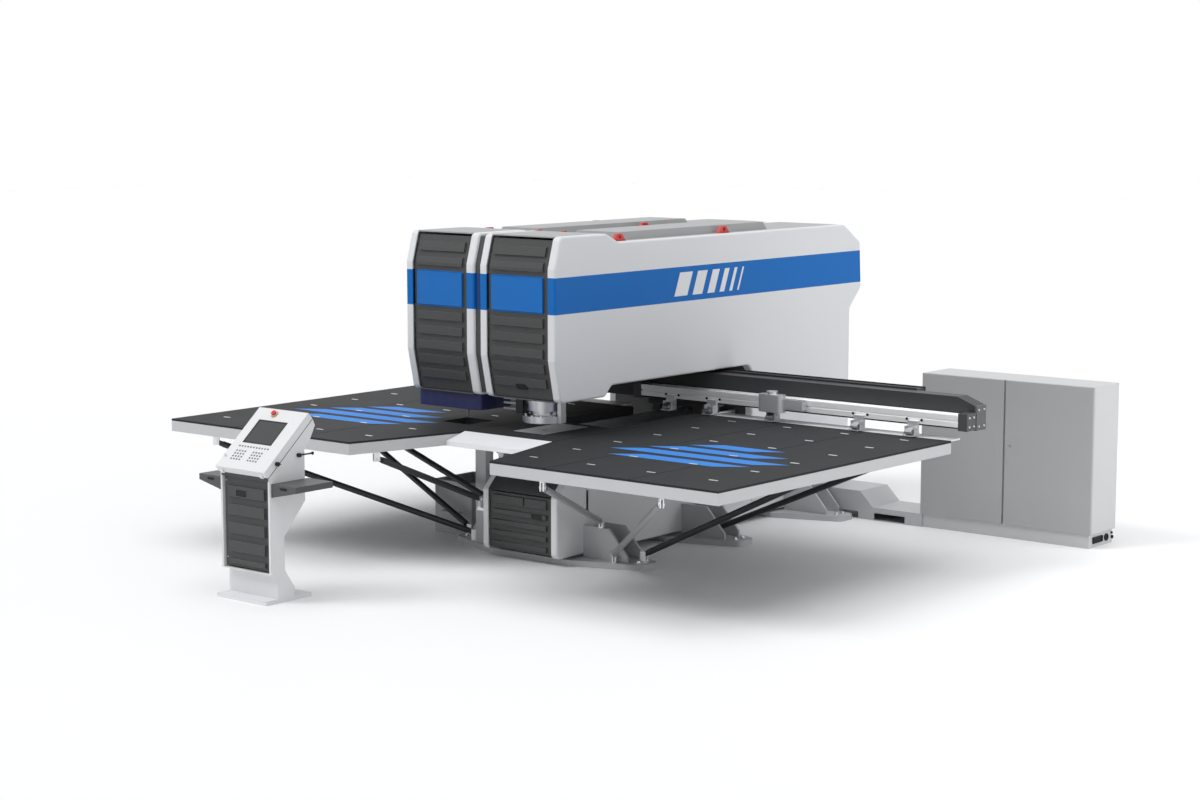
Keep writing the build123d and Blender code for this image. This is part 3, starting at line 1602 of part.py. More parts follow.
# Console body: a bent pedestal on a floor plate, hollow behind its front door
seam_front = on_panel((console_toe_y - on_panel(0, -lid_t - seat_gap)[0]) / lid_cos, -lid_t - seat_gap)
seam_rear = on_panel(lid_len, -lid_t - seat_gap)
console_front_line = [(console_toe_y, console_toe_z), (console_toe_y, seam_front[1])]
console_points = [
    seam_front,
    seam_rear,
    (console_nape_y, console_nape_z),
    (console_neck_y, console_neck_z),
    (console_back_y, console_back_high_z),
    (console_back_y, console_back_low_z),
    (console_shin_y, console_shin_high_z),
    (console_shin_y, console_shin_low_z),
    (console_heel_y, console_heel_z),
    (console_heel_y, console_base_t),
    (console_toe_y + console_toe_set, console_base_t),
    (console_toe_y + console_toe_set, console_toe_z),
    (console_toe_y, console_toe_z),
]
door_half = console_w / 2 - console_cheek
with BuildPart() as console_body:
    with BuildSketch(Plane.YZ.offset(console_left_x)):
        with BuildLine():
            Polyline(*console_points, close=True)
        make_face()
    extrude(amount=console_w)
    with BuildSketch(Plane.YZ.offset(console_left_x + console_wall)):
        with BuildLine():
            Polyline(*console_points, close=True)
        make_face()
        offset(amount=-console_wall, kind=Kind.INTERSECTION, mode=Mode.REPLACE)
    extrude(amount=console_w - 2 * console_wall, mode=Mode.SUBTRACT)
    block(
        (console_x - door_half, console_toe_y, console_door_low_z),
        (console_x + door_half, console_toe_y + console_wall, console_door_high_z),
        mode=Mode.SUBTRACT,
    )
    for jamb_x in (console_left_x, console_right_x - console_cheek):
        block(
            (jamb_x, console_toe_y, console_door_low_z),
            (jamb_x + console_cheek, console_toe_y + door_recess + door_sheet_t, console_door_high_z),
        )
    block(
        (console_left_x, console_base_front_y, 0),
        (console_right_x, console_base_rear_y, console_base_t),
    )
keep(console_body, "console_body")

# Console door hinged on its right: even pads below a plain head, the top one with the latch
console_pads = []
for step in range(console_pad_count):
    pad_high = console_pad_top_z - step * console_pad_pitch
    pad_low = pad_high - console_pad_pitch + console_pad_groove
    console_pads.append((max(pad_low, console_door_low_z + 2 * door_end_gap), pad_high))
console_door = ribbed_door(
    console_front_line,
    console_x - door_half + door_gap,
    console_x + door_half - hinge_gap,
    console_door_low_z + door_end_gap,
    console_door_high_z - seat_gap,
    console_pads,
    [(console_latch_x, console_latch_z, latch_w, latch_h, latch_round)],
    1,
)
keep(console_door, "console_door")
console_latch = latch_paddle(console_front_line, console_latch_x, console_latch_z)
keep(console_latch, "console_latch")

# Console lid: a tray-shaped panel with the screen pocket, the stop collar and the key hole
with BuildPart() as console_lid:
    with BuildSketch(panel_plane(console_x, lid_len / 2, -lid_t)):
        Rectangle(console_w, lid_len)
    extrude(amount=lid_t)
    with BuildSketch(panel_plane(console_x, lid_len / 2, -lid_t)):
        Rectangle(console_w - 2 * lid_wall, lid_len - 2 * lid_wall)
    extrude(amount=lid_t - lid_wall, mode=Mode.SUBTRACT)
    screen_middle_x = (screen_low_x + screen_high_x) / 2
    screen_middle_v = (screen_low_v + screen_high_v) / 2
    screen_w = screen_high_x - screen_low_x
    screen_h = screen_high_v - screen_low_v
    with BuildSketch(panel_plane(screen_middle_x, screen_middle_v, 0)):
        Rectangle(screen_w + 2 * seat_gap, screen_h + 2 * seat_gap)
    extrude(amount=screen_proud - screen_t, mode=Mode.SUBTRACT)
    with BuildSketch(panel_plane(stop_x, stop_v, 0)):
        Circle(stop_collar_r)
    extrude(amount=stop_collar_h)
    with BuildSketch(panel_plane(stop_x, stop_v, stop_collar_h)):
        Circle(stop_stem_r + hinge_gap)
    extrude(amount=-stop_collar_h - lid_wall, mode=Mode.SUBTRACT)
keep(console_lid, "console_lid")

# Screen in its pocket
with BuildPart() as console_screen:
    with BuildSketch(panel_plane(screen_middle_x, screen_middle_v, screen_proud)):
        Rectangle(screen_w, screen_h)
    extrude(amount=-screen_t)
keep(console_screen, "console_screen")

# Emergency stop: a mushroom head on a stem through its collar
with BuildPart() as stop_button:
    with BuildSketch(panel_plane(stop_x, stop_v, stop_collar_h + stop_stroke + seat_gap)):
        Circle(stop_r)
    extrude(amount=stop_h - stop_collar_h - stop_stroke)
    with BuildSketch(panel_plane(stop_x, stop_v, -lid_wall)):
        Circle(stop_stem_r)
    extrude(amount=lid_wall + stop_h - stop_stroke)
keep(stop_button, "stop_button")

# Key switch: a disc with a key bow standing on it
with BuildPart() as key_switch:
    with BuildSketch(panel_plane(key_x, key_v, seat_gap)):
        Circle(key_r)
    extrude(amount=key_h)
    with BuildSketch(panel_plane(key_x, key_v, seat_gap + key_h)):
        Rectangle(key_bow / 4, key_bow)
    extrude(amount=key_bow)
keep(key_switch, "key_switch")

# Knob on the side of the lid and lever on the side of the body
with BuildPart() as lid_knob:
    with BuildSketch(Plane.YZ.offset(console_right_x + seat_gap)):
        with Locations((knob_y, knob_z)):
            Circle(knob_r)
    extrude(amount=knob_h)
    with BuildSketch(Plane.YZ.offset(console_right_x + seat_gap + knob_h)):
        with Locations((knob_y, knob_z)):
            Rectangle(2 * knob_r, knob_r / 2)
    extrude(amount=knob_h / 2)
keep(lid_knob, "lid_knob")
lever_hub_x = console_right_x + seat_gap
with BuildPart() as lid_lever:
    with BuildSketch(Plane.YZ.offset(lever_hub_x)):
        with Locations((lever_y, lever_z)):
            Circle(lever_hub_r)
    extrude(amount=lever_hub_h)
    with BuildSketch(Plane.XZ.offset(-lever_y)):
        with Locations((lever_hub_x + lever_hub_h / 2, lever_z)):
            Circle(lever_r)
    extrude(amount=-lever_len)
    with Locations((lever_hub_x + lever_hub_h / 2, lever_y + lever_len, lever_z)):
        Sphere(2 * lever_r)
keep(lid_lever, "lid_lever")

# Shelves on both sides of the console, with a rim and tapered flanges that have a slot in them
with BuildPart() as console_shelves:
    for side in (-1, 1):
        root_x = console_x + side * (console_w / 2 + seat_gap)
        tip_x = root_x + side * shelf_w
        block(
            (min(root_x, tip_x), shelf_front_y, shelf_z - shelf_t),
            (max(root_x, tip_x), shelf_rear_y, shelf_z),
        )
        rim_x = tip_x - side * shelf_t
        block(
            (min(rim_x, tip_x), shelf_front_y, shelf_z - shelf_tip_h),
            (max(rim_x, tip_x), shelf_rear_y, shelf_z),
        )
        for flange_y in (shelf_front_y, shelf_rear_y - shelf_t):
            with BuildSketch(Plane.XZ.offset(-flange_y - shelf_t)):
                with BuildLine():
                    Polyline(
                        (root_x, shelf_z),
                        (tip_x, shelf_z),
                        (tip_x, shelf_z - shelf_tip_h),
                        (root_x, shelf_z - shelf_root_h),
                        close=True,
                    )
                make_face()
                with Locations((root_x + side * shelf_w / 2, shelf_z - shelf_tip_h / 2 - shelf_t)):
                    SlotOverall(shelf_slot_w, shelf_slot_h, mode=Mode.SUBTRACT)
            extrude(amount=shelf_t)
keep(console_shelves, "console_shelves")

# Scrap bin: an open box with a rim and a bar handle on its front
with BuildPart() as scrap_bin:
    block((bin_low_x, bin_front_y, 0), (bin_high_x, bin_rear_y, bin_h - bin_rim))
    block(
        (bin_low_x - bin_rim, bin_front_y - bin_rim, bin_h - bin_rim),
        (bin_high_x + bin_rim, bin_rear_y + bin_rim, bin_h),
    )
    block(
        (bin_low_x + bin_wall, bin_front_y + bin_wall, bin_wall),
        (bin_high_x - bin_wall, bin_rear_y - bin_wall, bin_h),
        mode=Mode.SUBTRACT,
    )
    bin_middle_x = (bin_low_x + bin_high_x) / 2
    with Locations((bin_middle_x, bin_front_y - bin_handle_out, bin_handle_z)):
        Cylinder(bin_handle_r, bin_handle_w + 2 * bin_handle_r, rotation=(0, 90, 0))
    for side in (-1, 1):
        post_x_place = bin_middle_x + side * bin_handle_w / 2
        with Locations((post_x_place, bin_front_y - bin_handle_out / 2, bin_handle_z)):
            Cylinder(bin_handle_r, bin_handle_out, rotation=(90, 0, 0))
keep(scrap_bin, "scrap_bin")
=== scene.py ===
import math

import bmesh
import bpy
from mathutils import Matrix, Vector


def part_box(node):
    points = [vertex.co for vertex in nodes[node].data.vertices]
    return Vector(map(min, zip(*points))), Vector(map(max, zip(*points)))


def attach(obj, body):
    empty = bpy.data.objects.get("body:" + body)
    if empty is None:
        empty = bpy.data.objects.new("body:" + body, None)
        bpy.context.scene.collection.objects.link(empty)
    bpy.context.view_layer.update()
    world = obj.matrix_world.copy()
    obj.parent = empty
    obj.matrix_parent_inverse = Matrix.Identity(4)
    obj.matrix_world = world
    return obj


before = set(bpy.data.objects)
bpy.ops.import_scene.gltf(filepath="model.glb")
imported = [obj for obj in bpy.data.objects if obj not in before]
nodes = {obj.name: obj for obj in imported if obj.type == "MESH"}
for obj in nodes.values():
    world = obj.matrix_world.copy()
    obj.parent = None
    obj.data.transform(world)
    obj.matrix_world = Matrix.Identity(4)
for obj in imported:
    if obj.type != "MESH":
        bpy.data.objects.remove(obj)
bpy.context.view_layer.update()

# Hood panels: large folded steel sheets round both arms, powder-coated white with a fine
# orange-peel skin. A blue band is sprayed round them at head height, masked off with tape.
band_low_z = 1.943
band_high_z = 2.223
white_coat = (0.79, 0.80, 0.815)
blue_coat = (0.006, 0.155, 0.52)
coat_gloss_down = 0.05
coat_gloss_up = 0.07
# Painted highlight: these two make the edges of a coat paler than its face.
edge_highlight_gain = 2.2
edge_highlight_lift = 0.06
mix_first = 6
mix_second = 7
mix_result = 2


def coat(name, colour, gloss, peel, tone, edge=0.0, shine=0.5):
    """A sprayed paint coat: cloudy tone, peel in the surface and, with edge, paler corners as a painted
    highlight.
    """
    finish = bpy.data.materials.new(name)
    finish.use_nodes = True
    tree = finish.node_tree
    paint = tree.nodes["Principled BSDF"]
    paint.inputs["Specular IOR Level"].default_value = shine
    place = tree.nodes.new("ShaderNodeTexCoord")
    cloud = tree.nodes.new("ShaderNodeTexNoise")
    cloud.inputs["Scale"].default_value = 1.7
    cloud.inputs["Detail"].default_value = 4.0
    shade = tree.nodes.new("ShaderNodeMix")
    shade.data_type = "RGBA"
    shade.inputs[mix_first].default_value = [c * (1 - tone) for c in colour] + [1]
    shade.inputs[mix_second].default_value = [min(1, c * (1 + tone)) for c in colour] + [1]
    rough = tree.nodes.new("ShaderNodeMapRange")
    rough.inputs["To Min"].default_value = gloss - coat_gloss_down
    rough.inputs["To Max"].default_value = gloss + coat_gloss_up
    skin = tree.nodes.new("ShaderNodeTexNoise")
    skin.inputs["Scale"].default_value = peel
    skin.inputs["Detail"].default_value = 2.0
    relief = tree.nodes.new("ShaderNodeBump")
    relief.inputs["Strength"].default_value = 0.06
    relief.inputs["Distance"].default_value = 0.002
    corner = tree.nodes.new("ShaderNodeBevel")
    corner.samples = 4
    corner.inputs["Radius"].default_value = 0.004
    tree.links.new(place.outputs["Object"], cloud.inputs["Vector"])
    tree.links.new(place.outputs["Object"], skin.inputs["Vector"])
    tree.links.new(cloud.outputs["Fac"], shade.inputs[0])
    tree.links.new(cloud.outputs["Fac"], rough.inputs["Value"])
    tree.links.new(rough.outputs["Result"], paint.inputs["Roughness"])
    tree.links.new(skin.outputs["Fac"], relief.inputs["Height"])
    tree.links.new(corner.outputs["Normal"], relief.inputs["Normal"])
    tree.links.new(relief.outputs["Normal"], paint.inputs["Normal"])
    last = shade.outputs[mix_result]
    # Painted highlight: the colour is made paler along the edges, where the bevelled normal turns from the
    # face.
    if edge:
        face = tree.nodes.new("ShaderNodeNewGeometry")
        turn = tree.nodes.new("ShaderNodeVectorMath")
        turn.operation = "DOT_PRODUCT"
        edge_highlight = tree.nodes.new("ShaderNodeMapRange")
        edge_highlight.inputs["From Min"].default_value = 0.995
        edge_highlight.inputs["From Max"].default_value = 0.80
        edge_highlight.inputs["To Max"].default_value = edge
        pale = tree.nodes.new("ShaderNodeMix")
        pale.data_type = "RGBA"
        pale.inputs[mix_second].default_value = [min(1, c * edge_highlight_gain + edge_highlight_lift) for c in colour] + [1]
        tree.links.new(corner.outputs["Normal"], turn.inputs[0])
        tree.links.new(face.outputs["Normal"], turn.inputs[1])
        tree.links.new(turn.outputs["Value"], edge_highlight.inputs["Value"])
        tree.links.new(edge_highlight.outputs["Result"], pale.inputs[0])
        tree.links.new(last, pale.inputs[mix_first])
        last = pale.outputs[mix_result]
    tree.links.new(last, paint.inputs["Base Color"])
    return finish


def between(tree, axis, low, high):
    """A mask that is 1 between two places along an axis of the object, and 0 elsewhere."""
    place = tree.nodes.new("ShaderNodeTexCoord")
    split = tree.nodes.new("ShaderNodeSeparateXYZ")
    above = tree.nodes.new("ShaderNodeMath")
    above.operation = "GREATER_THAN"
    above.inputs[1].default_value = low
    below = tree.nodes.new("ShaderNodeMath")
    below.operation = "LESS_THAN"
    below.inputs[1].default_value = high
    both = tree.nodes.new("ShaderNodeMath")
    both.operation = "MULTIPLY"
    tree.links.new(place.outputs["Object"], split.inputs["Vector"])
    for side in (above, below):
        tree.links.new(split.outputs[axis], side.inputs[0])
    tree.links.new(above.outputs[0], both.inputs[0])
    tree.links.new(below.outputs[0], both.inputs[1])
    return both.outputs[0]


def overspray(finish, mask, colour):
    """A second colour over a coat, where a mask says so."""
    tree = finish.node_tree
    paint = tree.nodes["Principled BSDF"]
    under = paint.inputs["Base Color"].links[0].from_socket
    over = tree.nodes.new("ShaderNodeMix")
    over.data_type = "RGBA"
    over.inputs[mix_second].default_value = [*colour, 1]
    tree.links.new(mask, over.inputs[0])
    tree.links.new(under, over.inputs[mix_first])
    tree.links.new(over.outputs[mix_result], paint.inputs["Base Color"])


def dress(finish, *names):
    """Puts a finish on every slot of the named nodes."""
    for name in names:
        for place in nodes[name].material_slots:
            place.material = finish


hood_white = coat("hood_white", white_coat, gloss=0.42, peel=260, tone=0.012, shine=0.15)
overspray(hood_white, between(hood_white.node_tree, "Z", band_low_z, band_high_z), blue_coat)
dress(hood_white, "arm_side_right", "arm_side_left", "arm_inner_sides")

# Hood covers: folded steel lids and end sheets that close the arms between the side panels,
# sprayed mid grey, with the blue band carried across the end sheets.
cover_grey = coat("cover_grey", (0.36, 0.365, 0.37), gloss=0.48, peel=300, tone=0.02)
overspray(cover_grey, between(cover_grey.node_tree, "Z", band_low_z, band_high_z), blue_coat)
dress(cover_grey, "arm_covers")

# Filler strip and hood floors: plain dark sheets that close the arms between and below the
# white panels, sprayed anthracite, with the band carried across the filler in a deeper blue.
anthracite = (0.068, 0.070, 0.073)
deep_blue = (0.006, 0.05, 0.19)
filler_dark = coat("filler_dark", anthracite, gloss=0.5, peel=420, tone=0.10, edge=0.25, shine=0.25)
overspray(filler_dark, between(filler_dark.node_tree, "Z", band_low_z, band_high_z), deep_blue)
dress(filler_dark, "hood_filler")
floor_dark = coat("floor_dark", anthracite, gloss=0.55, peel=420, tone=0.10, edge=0.25)
dress(floor_dark, "arm_floors")

# Slanted pin bars on the band of the punch arm: cut vinyl strips, white, laid side by side on
# the blue, a plain ornament that runs out towards the rear.
bar_tilt = 0.075
bar_margin = 0.045
bar_foot_z = band_low_z + bar_margin
bar_top_z = band_high_z - bar_margin
bar_widths = (0.17, 0.13, 0.095, 0.065, 0.04, 0.022)
bar_gap = 0.07
bar_start_y = 1.15
side_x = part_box("arm_side_right")[1].x


def new_piece(name, mesh, finish, body):
    """A finished mesh as a piece that rides on a body and takes its finish from a slot."""
    mesh.materials.clear()
    mesh.materials.append(finish)
    piece = bpy.data.objects.new(name, mesh)
    bpy.context.scene.collection.objects.link(piece)
    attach(piece, body)
    return piece


def mesh_from(name, shape):
    """The built shape as a mesh, with its faces turned outwards."""
    bmesh.ops.recalc_face_normals(shape, faces=shape.faces)
    mesh = bpy.data.meshes.new(name)
    shape.to_mesh(mesh)
    shape.free()
    return mesh


def bridge(shape, loops, ring=False):
    """Joins loops of points into a shell: the ends are capped or, in a ring, joined to each other."""
    loops = [[shape.verts.new(point) for point in loop] for loop in loops]
    for first, second in zip(loops, loops[1:] + loops[:1] if ring else loops[1:]):
        for i in range(len(first)):
            j = (i + 1) % len(first)
            shape.faces.new((first[i], first[j], second[j], second[i]))
    if not ring:
        shape.faces.new(list(reversed(loops[0])))
        shape.faces.new(loops[-1])


def prism(shape, outline, thickness):
    """A flat outline of points, thickened along a vector into a closed plate."""
    bridge(shape, [outline, [Vector(point) + Vector(thickness) for point in outline]])


vinyl_white = coat("vinyl_white", (0.82, 0.83, 0.84), gloss=0.30, peel=900, tone=0.01)
vinyl_t = 0.0006
bars = bmesh.new()
bar_y = bar_start_y
for width in bar_widths:
    outline = [
        (side_x, bar_y, bar_foot_z),
        (side_x, bar_y + width, bar_foot_z),
        (side_x, bar_y + width + bar_tilt, bar_top_z),
        (side_x, bar_y + bar_tilt, bar_top_z),
    ]
    prism(bars, outline, (vinyl_t, 0, 0))
    bar_y += width + bar_gap
new_piece("pin_bars", mesh_from("pin_bars", bars), vinyl_white, "machine")

# Lifting lugs: flame-cut steel plates on top of the arms, welded through the decks and painted
# signal red.
signal_red = coat("signal_red", (0.60, 0.035, 0.03), gloss=0.4, peel=500, tone=0.06, edge=0.3)
dress(signal_red, "lifting_lugs")

# Ribbed doors: deep-drawn steel skins with raised pads, sprayed anthracite, with a painted highlight
# that makes their edges slightly paler. The tall pad of each hood door carries the blue of the band.
door_dark = (0.071, 0.072, 0.073)
pad_inset = 0.046
pad_over = 0.001
band_over = 0.002


def join_masks(tree, first, second):
    """A mask that is 1 where two masks both are."""
    both = tree.nodes.new("ShaderNodeMath")
    both.operation = "MULTIPLY"
    tree.links.new(first, both.inputs[0])
    tree.links.new(second, both.inputs[1])
    return both.outputs[0]


for name in ("hood_door_right", "hood_door_left"):
    low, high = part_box(name)
    ribbed = coat(name + "_paint", door_dark, gloss=0.46, peel=600, tone=0.06, edge=0.5, shine=0.25)
    tree = ribbed.node_tree
    across = between(tree, "X", low.x + pad_inset - pad_over, high.x - pad_inset + pad_over)
    up = between(tree, "Z", band_low_z - band_over, band_high_z + band_over)
    overspray(ribbed, join_masks(tree, across, up), blue_coat)
    dress(ribbed, name)
ribbed_plain = coat("ribbed_plain", door_dark, gloss=0.46, peel=600, tone=0.06, edge=0.5, shine=0.25)
dress(ribbed_plain, "base_door", "console_door")

# Pull latches: paddles moulded in black plastic, set flush in pockets of the hood, base and
# console doors.
paddle_black = (0.007, 0.007, 0.008)
latch_black = coat("latch_black", paddle_black, gloss=0.4, peel=1500, tone=0.05, edge=0.2, shine=0.3)
dress(latch_black, "hood_latch", "base_latch", "console_latch")

# Lower cladding: white folded side panels like the hoods', and between them the sloping dark
# front sheet above the base door.
visor_half = 0.3248
base_white = coat("base_white", white_coat, gloss=0.42, peel=260, tone=0.015, shine=0.3)
overspray(base_white, between(base_white.node_tree, "X", -visor_half, visor_half), anthracite)
dress(base_white, "base_sides")

# Frames behind the cladding: bodies of flame-cut steel plate, welded together and left in a
# matt grey primer.
primer = coat("primer", (0.40, 0.41, 0.42), gloss=0.6, peel=180, tone=0.08)
dress(primer, "c_frame", "laser_frame")

# Cross feet and struts: welded plates in light grey enamel, round tubes in a darker grey, and
# black on the braces. The support post, the scrap bin and the cable duct wear the light grey of
# the feet.
light_grey = (0.52, 0.53, 0.54)
grey_enamel = coat("grey_enamel", light_grey, gloss=0.42, peel=330, tone=0.03)
dress(grey_enamel, "feet", "support_post", "scrap_bin", "cable_duct")
strut_enamel = coat("strut_enamel", (0.27, 0.275, 0.28), gloss=0.42, peel=330, tone=0.03)
dress(strut_enamel, "struts_grey")
black_enamel = coat("black_enamel", (0.020, 0.020, 0.022), gloss=0.45, peel=500, tone=0.08, edge=0.4)
dress(black_enamel, "struts_black")

# Anchor bolts and strut forks: zinc-plated steel. Each bolt shows a hexagon head on a thick
# washer, over a hole of a foot that stands free.
anchor_x = 0.888
anchor_half_gap = 0.048
foot_ys = (0.115, 1.364, 2.81)
foot_top_z = 0.045
grain_share = 0.02
streak_dark = 0.86
streak_pale = 1.08
metal_gloss_down = 0.06
metal_gloss_up = 0.10
crown_share = 0.86


def bright_metal(name, colour, gloss, grain, along):
    """Bare metal: brushed grain along an axis, with a little change of tone and gloss."""
    finish = bpy.data.materials.new(name)
    finish.use_nodes = True
    tree = finish.node_tree
    metal = tree.nodes["Principled BSDF"]
    metal.inputs["Metallic"].default_value = 1.0
    place = tree.nodes.new("ShaderNodeTexCoord")
    draw = tree.nodes.new("ShaderNodeMapping")
    draw.inputs["Scale"].default_value = [grain * grain_share if axis == along else grain for axis in "XYZ"]
    streak = tree.nodes.new("ShaderNodeTexNoise")
    streak.inputs["Scale"].default_value = 1.0
    streak.inputs["Detail"].default_value = 3.0
    tint = tree.nodes.new("ShaderNodeMix")
    tint.data_type = "RGBA"
    tint.inputs[mix_first].default_value = [c * streak_dark for c in colour] + [1]
    tint.inputs[mix_second].default_value = [min(1, c * streak_pale) for c in colour] + [1]
    rough = tree.nodes.new("ShaderNodeMapRange")
    rough.inputs["To Min"].default_value = gloss - metal_gloss_down
    rough.inputs["To Max"].default_value = gloss + metal_gloss_up
    relief = tree.nodes.new("ShaderNodeBump")
    relief.inputs["Strength"].default_value = 0.05
    relief.inputs["Distance"].default_value = 0.001
    corner = tree.nodes.new("ShaderNodeBevel")
    corner.samples = 4
    corner.inputs["Radius"].default_value = 0.002
    tree.links.new(place.outputs["Object"], draw.inputs["Vector"])
    tree.links.new(draw.outputs["Vector"], streak.inputs["Vector"])
    tree.links.new(streak.outputs["Fac"], tint.inputs[0])
    tree.links.new(streak.outputs["Fac"], rough.inputs["Value"])
    tree.links.new(tint.outputs[mix_result], metal.inputs["Base Color"])
    tree.links.new(rough.outputs["Result"], metal.inputs["Roughness"])
    tree.links.new(streak.outputs["Fac"], relief.inputs["Height"])
    tree.links.new(corner.outputs["Normal"], relief.inputs["Normal"])
    tree.links.new(relief.outputs["Normal"], metal.inputs["Normal"])
    return finish


def bolt_tree():
    """The bolts as a tree: a head and a washer on each point of a mesh, turned to face out."""
    tree = bpy.data.node_groups.new("bolts_on_points", "GeometryNodeTree")
    face = tree.interface
    face.new_socket("Points", in_out="INPUT", socket_type="NodeSocketGeometry")
    lengths = ("Head radius", "Head height", "Washer radius", "Washer height")
    kinds = {label: "Float" for label in lengths}
    kinds.update({"Sides": "Int", "Spin": "Float", "Turn": "Vector", "Finish": "Material"})
    sizes = {}
    for label, kind in kinds.items():
        sizes[label] = face.new_socket(label, in_out="INPUT", socket_type="NodeSocket" + kind).identifier
    face.new_socket("Bolts", in_out="OUTPUT", socket_type="NodeSocketGeometry")
    given = tree.nodes.new("NodeGroupInput")
    made = tree.nodes.new("NodeGroupOutput")
    link = tree.links.new
    head = tree.nodes.new("GeometryNodeMeshCone")
    link(given.outputs["Sides"], head.inputs["Vertices"])
    link(given.outputs["Head radius"], head.inputs["Radius Bottom"])
    crown = tree.nodes.new("ShaderNodeMath")
    crown.operation = "MULTIPLY"
    crown.inputs[1].default_value = crown_share
    link(given.outputs["Head radius"], crown.inputs[0])
    link(crown.outputs[0], head.inputs["Radius Top"])
    link(given.outputs["Head height"], head.inputs["Depth"])
    lift = tree.nodes.new("ShaderNodeCombineXYZ")
    link(given.outputs["Washer height"], lift.inputs["Z"])
    raised = tree.nodes.new("GeometryNodeTransform")
    link(head.outputs["Mesh"], raised.inputs["Geometry"])
    link(lift.outputs[0], raised.inputs["Translation"])
    spin = tree.nodes.new("ShaderNodeCombineXYZ")
    link(given.outputs["Spin"], spin.inputs["Z"])
    link(spin.outputs[0], raised.inputs["Rotation"])
    washer = tree.nodes.new("GeometryNodeMeshCone")
    washer.inputs["Vertices"].default_value = 16
    link(given.outputs["Washer radius"], washer.inputs["Radius Bottom"])
    link(given.outputs["Washer radius"], washer.inputs["Radius Top"])
    link(given.outputs["Washer height"], washer.inputs["Depth"])
    bolt = tree.nodes.new("GeometryNodeJoinGeometry")
    link(washer.outputs["Mesh"], bolt.inputs[0])
    link(raised.outputs["Geometry"], bolt.inputs[0])
    spread = tree.nodes.new("GeometryNodeInstanceOnPoints")
    link(given.outputs["Points"], spread.inputs["Points"])
    link(bolt.outputs[0], spread.inputs["Instance"])
    turn = tree.nodes.new("FunctionNodeEulerToRotation")
    link(given.outputs["Turn"], turn.inputs[0])
    link(turn.outputs[0], spread.inputs["Rotation"])
    whole = tree.nodes.new("GeometryNodeRealizeInstances")
    link(spread.outputs["Instances"], whole.inputs["Geometry"])
    painted = tree.nodes.new("GeometryNodeSetMaterial")
    link(whole.outputs["Geometry"], painted.inputs["Geometry"])
    link(given.outputs["Finish"], painted.inputs["Material"])
    link(painted.outputs["Geometry"], made.inputs["Bolts"])
    return tree, sizes


bolts_on_points, bolt_sockets = bolt_tree()


def bolt_size(head_r, head_h, washer_r, washer_h, sides):
    """The sizes of one kind of bolt, under the names of the tree's sockets."""
    head = {"Head radius": head_r, "Head height": head_h, "Sides": sides}
    return {**head, "Washer radius": washer_r, "Washer height": washer_h}


def bolts(name, points, size, turn, finish, body, spin=0.0):
    """Runs the tree on a mesh of points and keeps the result as one plain mesh on a body."""
    seed = bpy.data.meshes.new(name + "_points")
    seed.from_pydata(points, [], [])
    carrier = bpy.data.objects.new(name + "_carrier", seed)
    bpy.context.scene.collection.objects.link(carrier)
    grower = carrier.modifiers.new("grow", "NODES")
    grower.node_group = bolts_on_points
    for label, value in {**size, "Spin": spin, "Turn": turn, "Finish": finish}.items():
        grower[bolt_sockets[label]] = value
    depsgraph = bpy.context.evaluated_depsgraph_get()
    mesh = bpy.data.meshes.new_from_object(carrier.evaluated_get(depsgraph))
    mesh.name = name
    bpy.data.objects.remove(carrier)
    return new_piece(name, mesh, finish, body)


face_up = (0, 0, 0)
face_right = (0, math.pi / 2, 0)
face_left = (0, -math.pi / 2, 0)
face_front = (math.pi / 2, 0, 0)
zinc = bright_metal("zinc", (0.62, 0.63, 0.65), gloss=0.35, grain=300, along="Z")
hexagon = bolt_size(head_r=0.017, head_h=0.014, washer_r=0.024, washer_h=0.004, sides=6)
fork_zinc = bright_metal("fork_zinc", (0.80, 0.81, 0.82), gloss=0.45, grain=300, along="Z")
dress(fork_zinc, "strut_forks")
anchor_points = [
    (side * anchor_x, y + step * anchor_half_gap, foot_top_z)
    for side in (-1, 1)
    for y in foot_ys[: 2 if side < 0 else 3]
    for step in (-1, 1)
]
bolts("anchor_bolts", anchor_points, hexagon, face_up, zinc, "machine")

# Sheet tables: welded frames enamelled pale grey, with painted shade inside the chute below the cutting
# head, with dark coated plates on top and painted shade, near black, along their seams. Wide slanted blue
# bars are laid on as a plain ornament, one group on each table.
table_dark = (0.022, 0.023, 0.0245)
chute_x = -0.811
chute_half_x = 0.30
chute_half_y = 0.17
table_rim = coat("table_rim", (0.56, 0.57, 0.58), gloss=0.4, peel=300, tone=0.02)
tree = table_rim.node_tree
# Painted shade: inside the chute below the cutting head the frame takes the dark of the plates.
chute_shade = between(tree, "X", chute_x - chute_half_x, chute_x + chute_half_x)
chute_shade = join_masks(tree, chute_shade, between(tree, "Y", -chute_half_y, chute_half_y))
overspray(table_rim, chute_shade, table_dark)
dress(table_rim, "table_frames")
table_coat = coat("table_coat", table_dark, gloss=0.62, peel=800, tone=0.10, edge=0.3, shine=0.15)
plate_inner_x = 0.450
plate_outer_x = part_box("table_plates")[1].x
seam_shares = (0.0, 0.34, 0.67)
seam_edge = 0.005
painted_seam_shade = (0.003, 0.003, 0.003)
# Painted shade: a near-black strip is sprayed along each seam between the plates.
for side in (-1, 1):
    for share in seam_shares:
        seam_x = side * (plate_inner_x + share * (plate_outer_x - plate_inner_x))
        seam_shade_mask = between(table_coat.node_tree, "X", seam_x - seam_edge, seam_x + seam_edge)
        overspray(table_coat, seam_shade_mask, painted_seam_shade)
dress(table_coat, "center_table", "table_plates")
table_top_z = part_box("table_plates")[1].z
table_blue = coat("table_blue", (0.045, 0.245, 0.72), gloss=0.55, peel=700, tone=0.04, shine=0.15)
foil_t = 0.0005
ribbon_lengths = (0.95, 1.30, 0.95, 0.55)
ribbon_front_y = -0.62
ribbon_pitch = 0.24
ribbon_w = 0.15
ribbon_lean = 0.22
ribbon_middle_xs = (1.62, -1.78)
ribbons = bmesh.new()
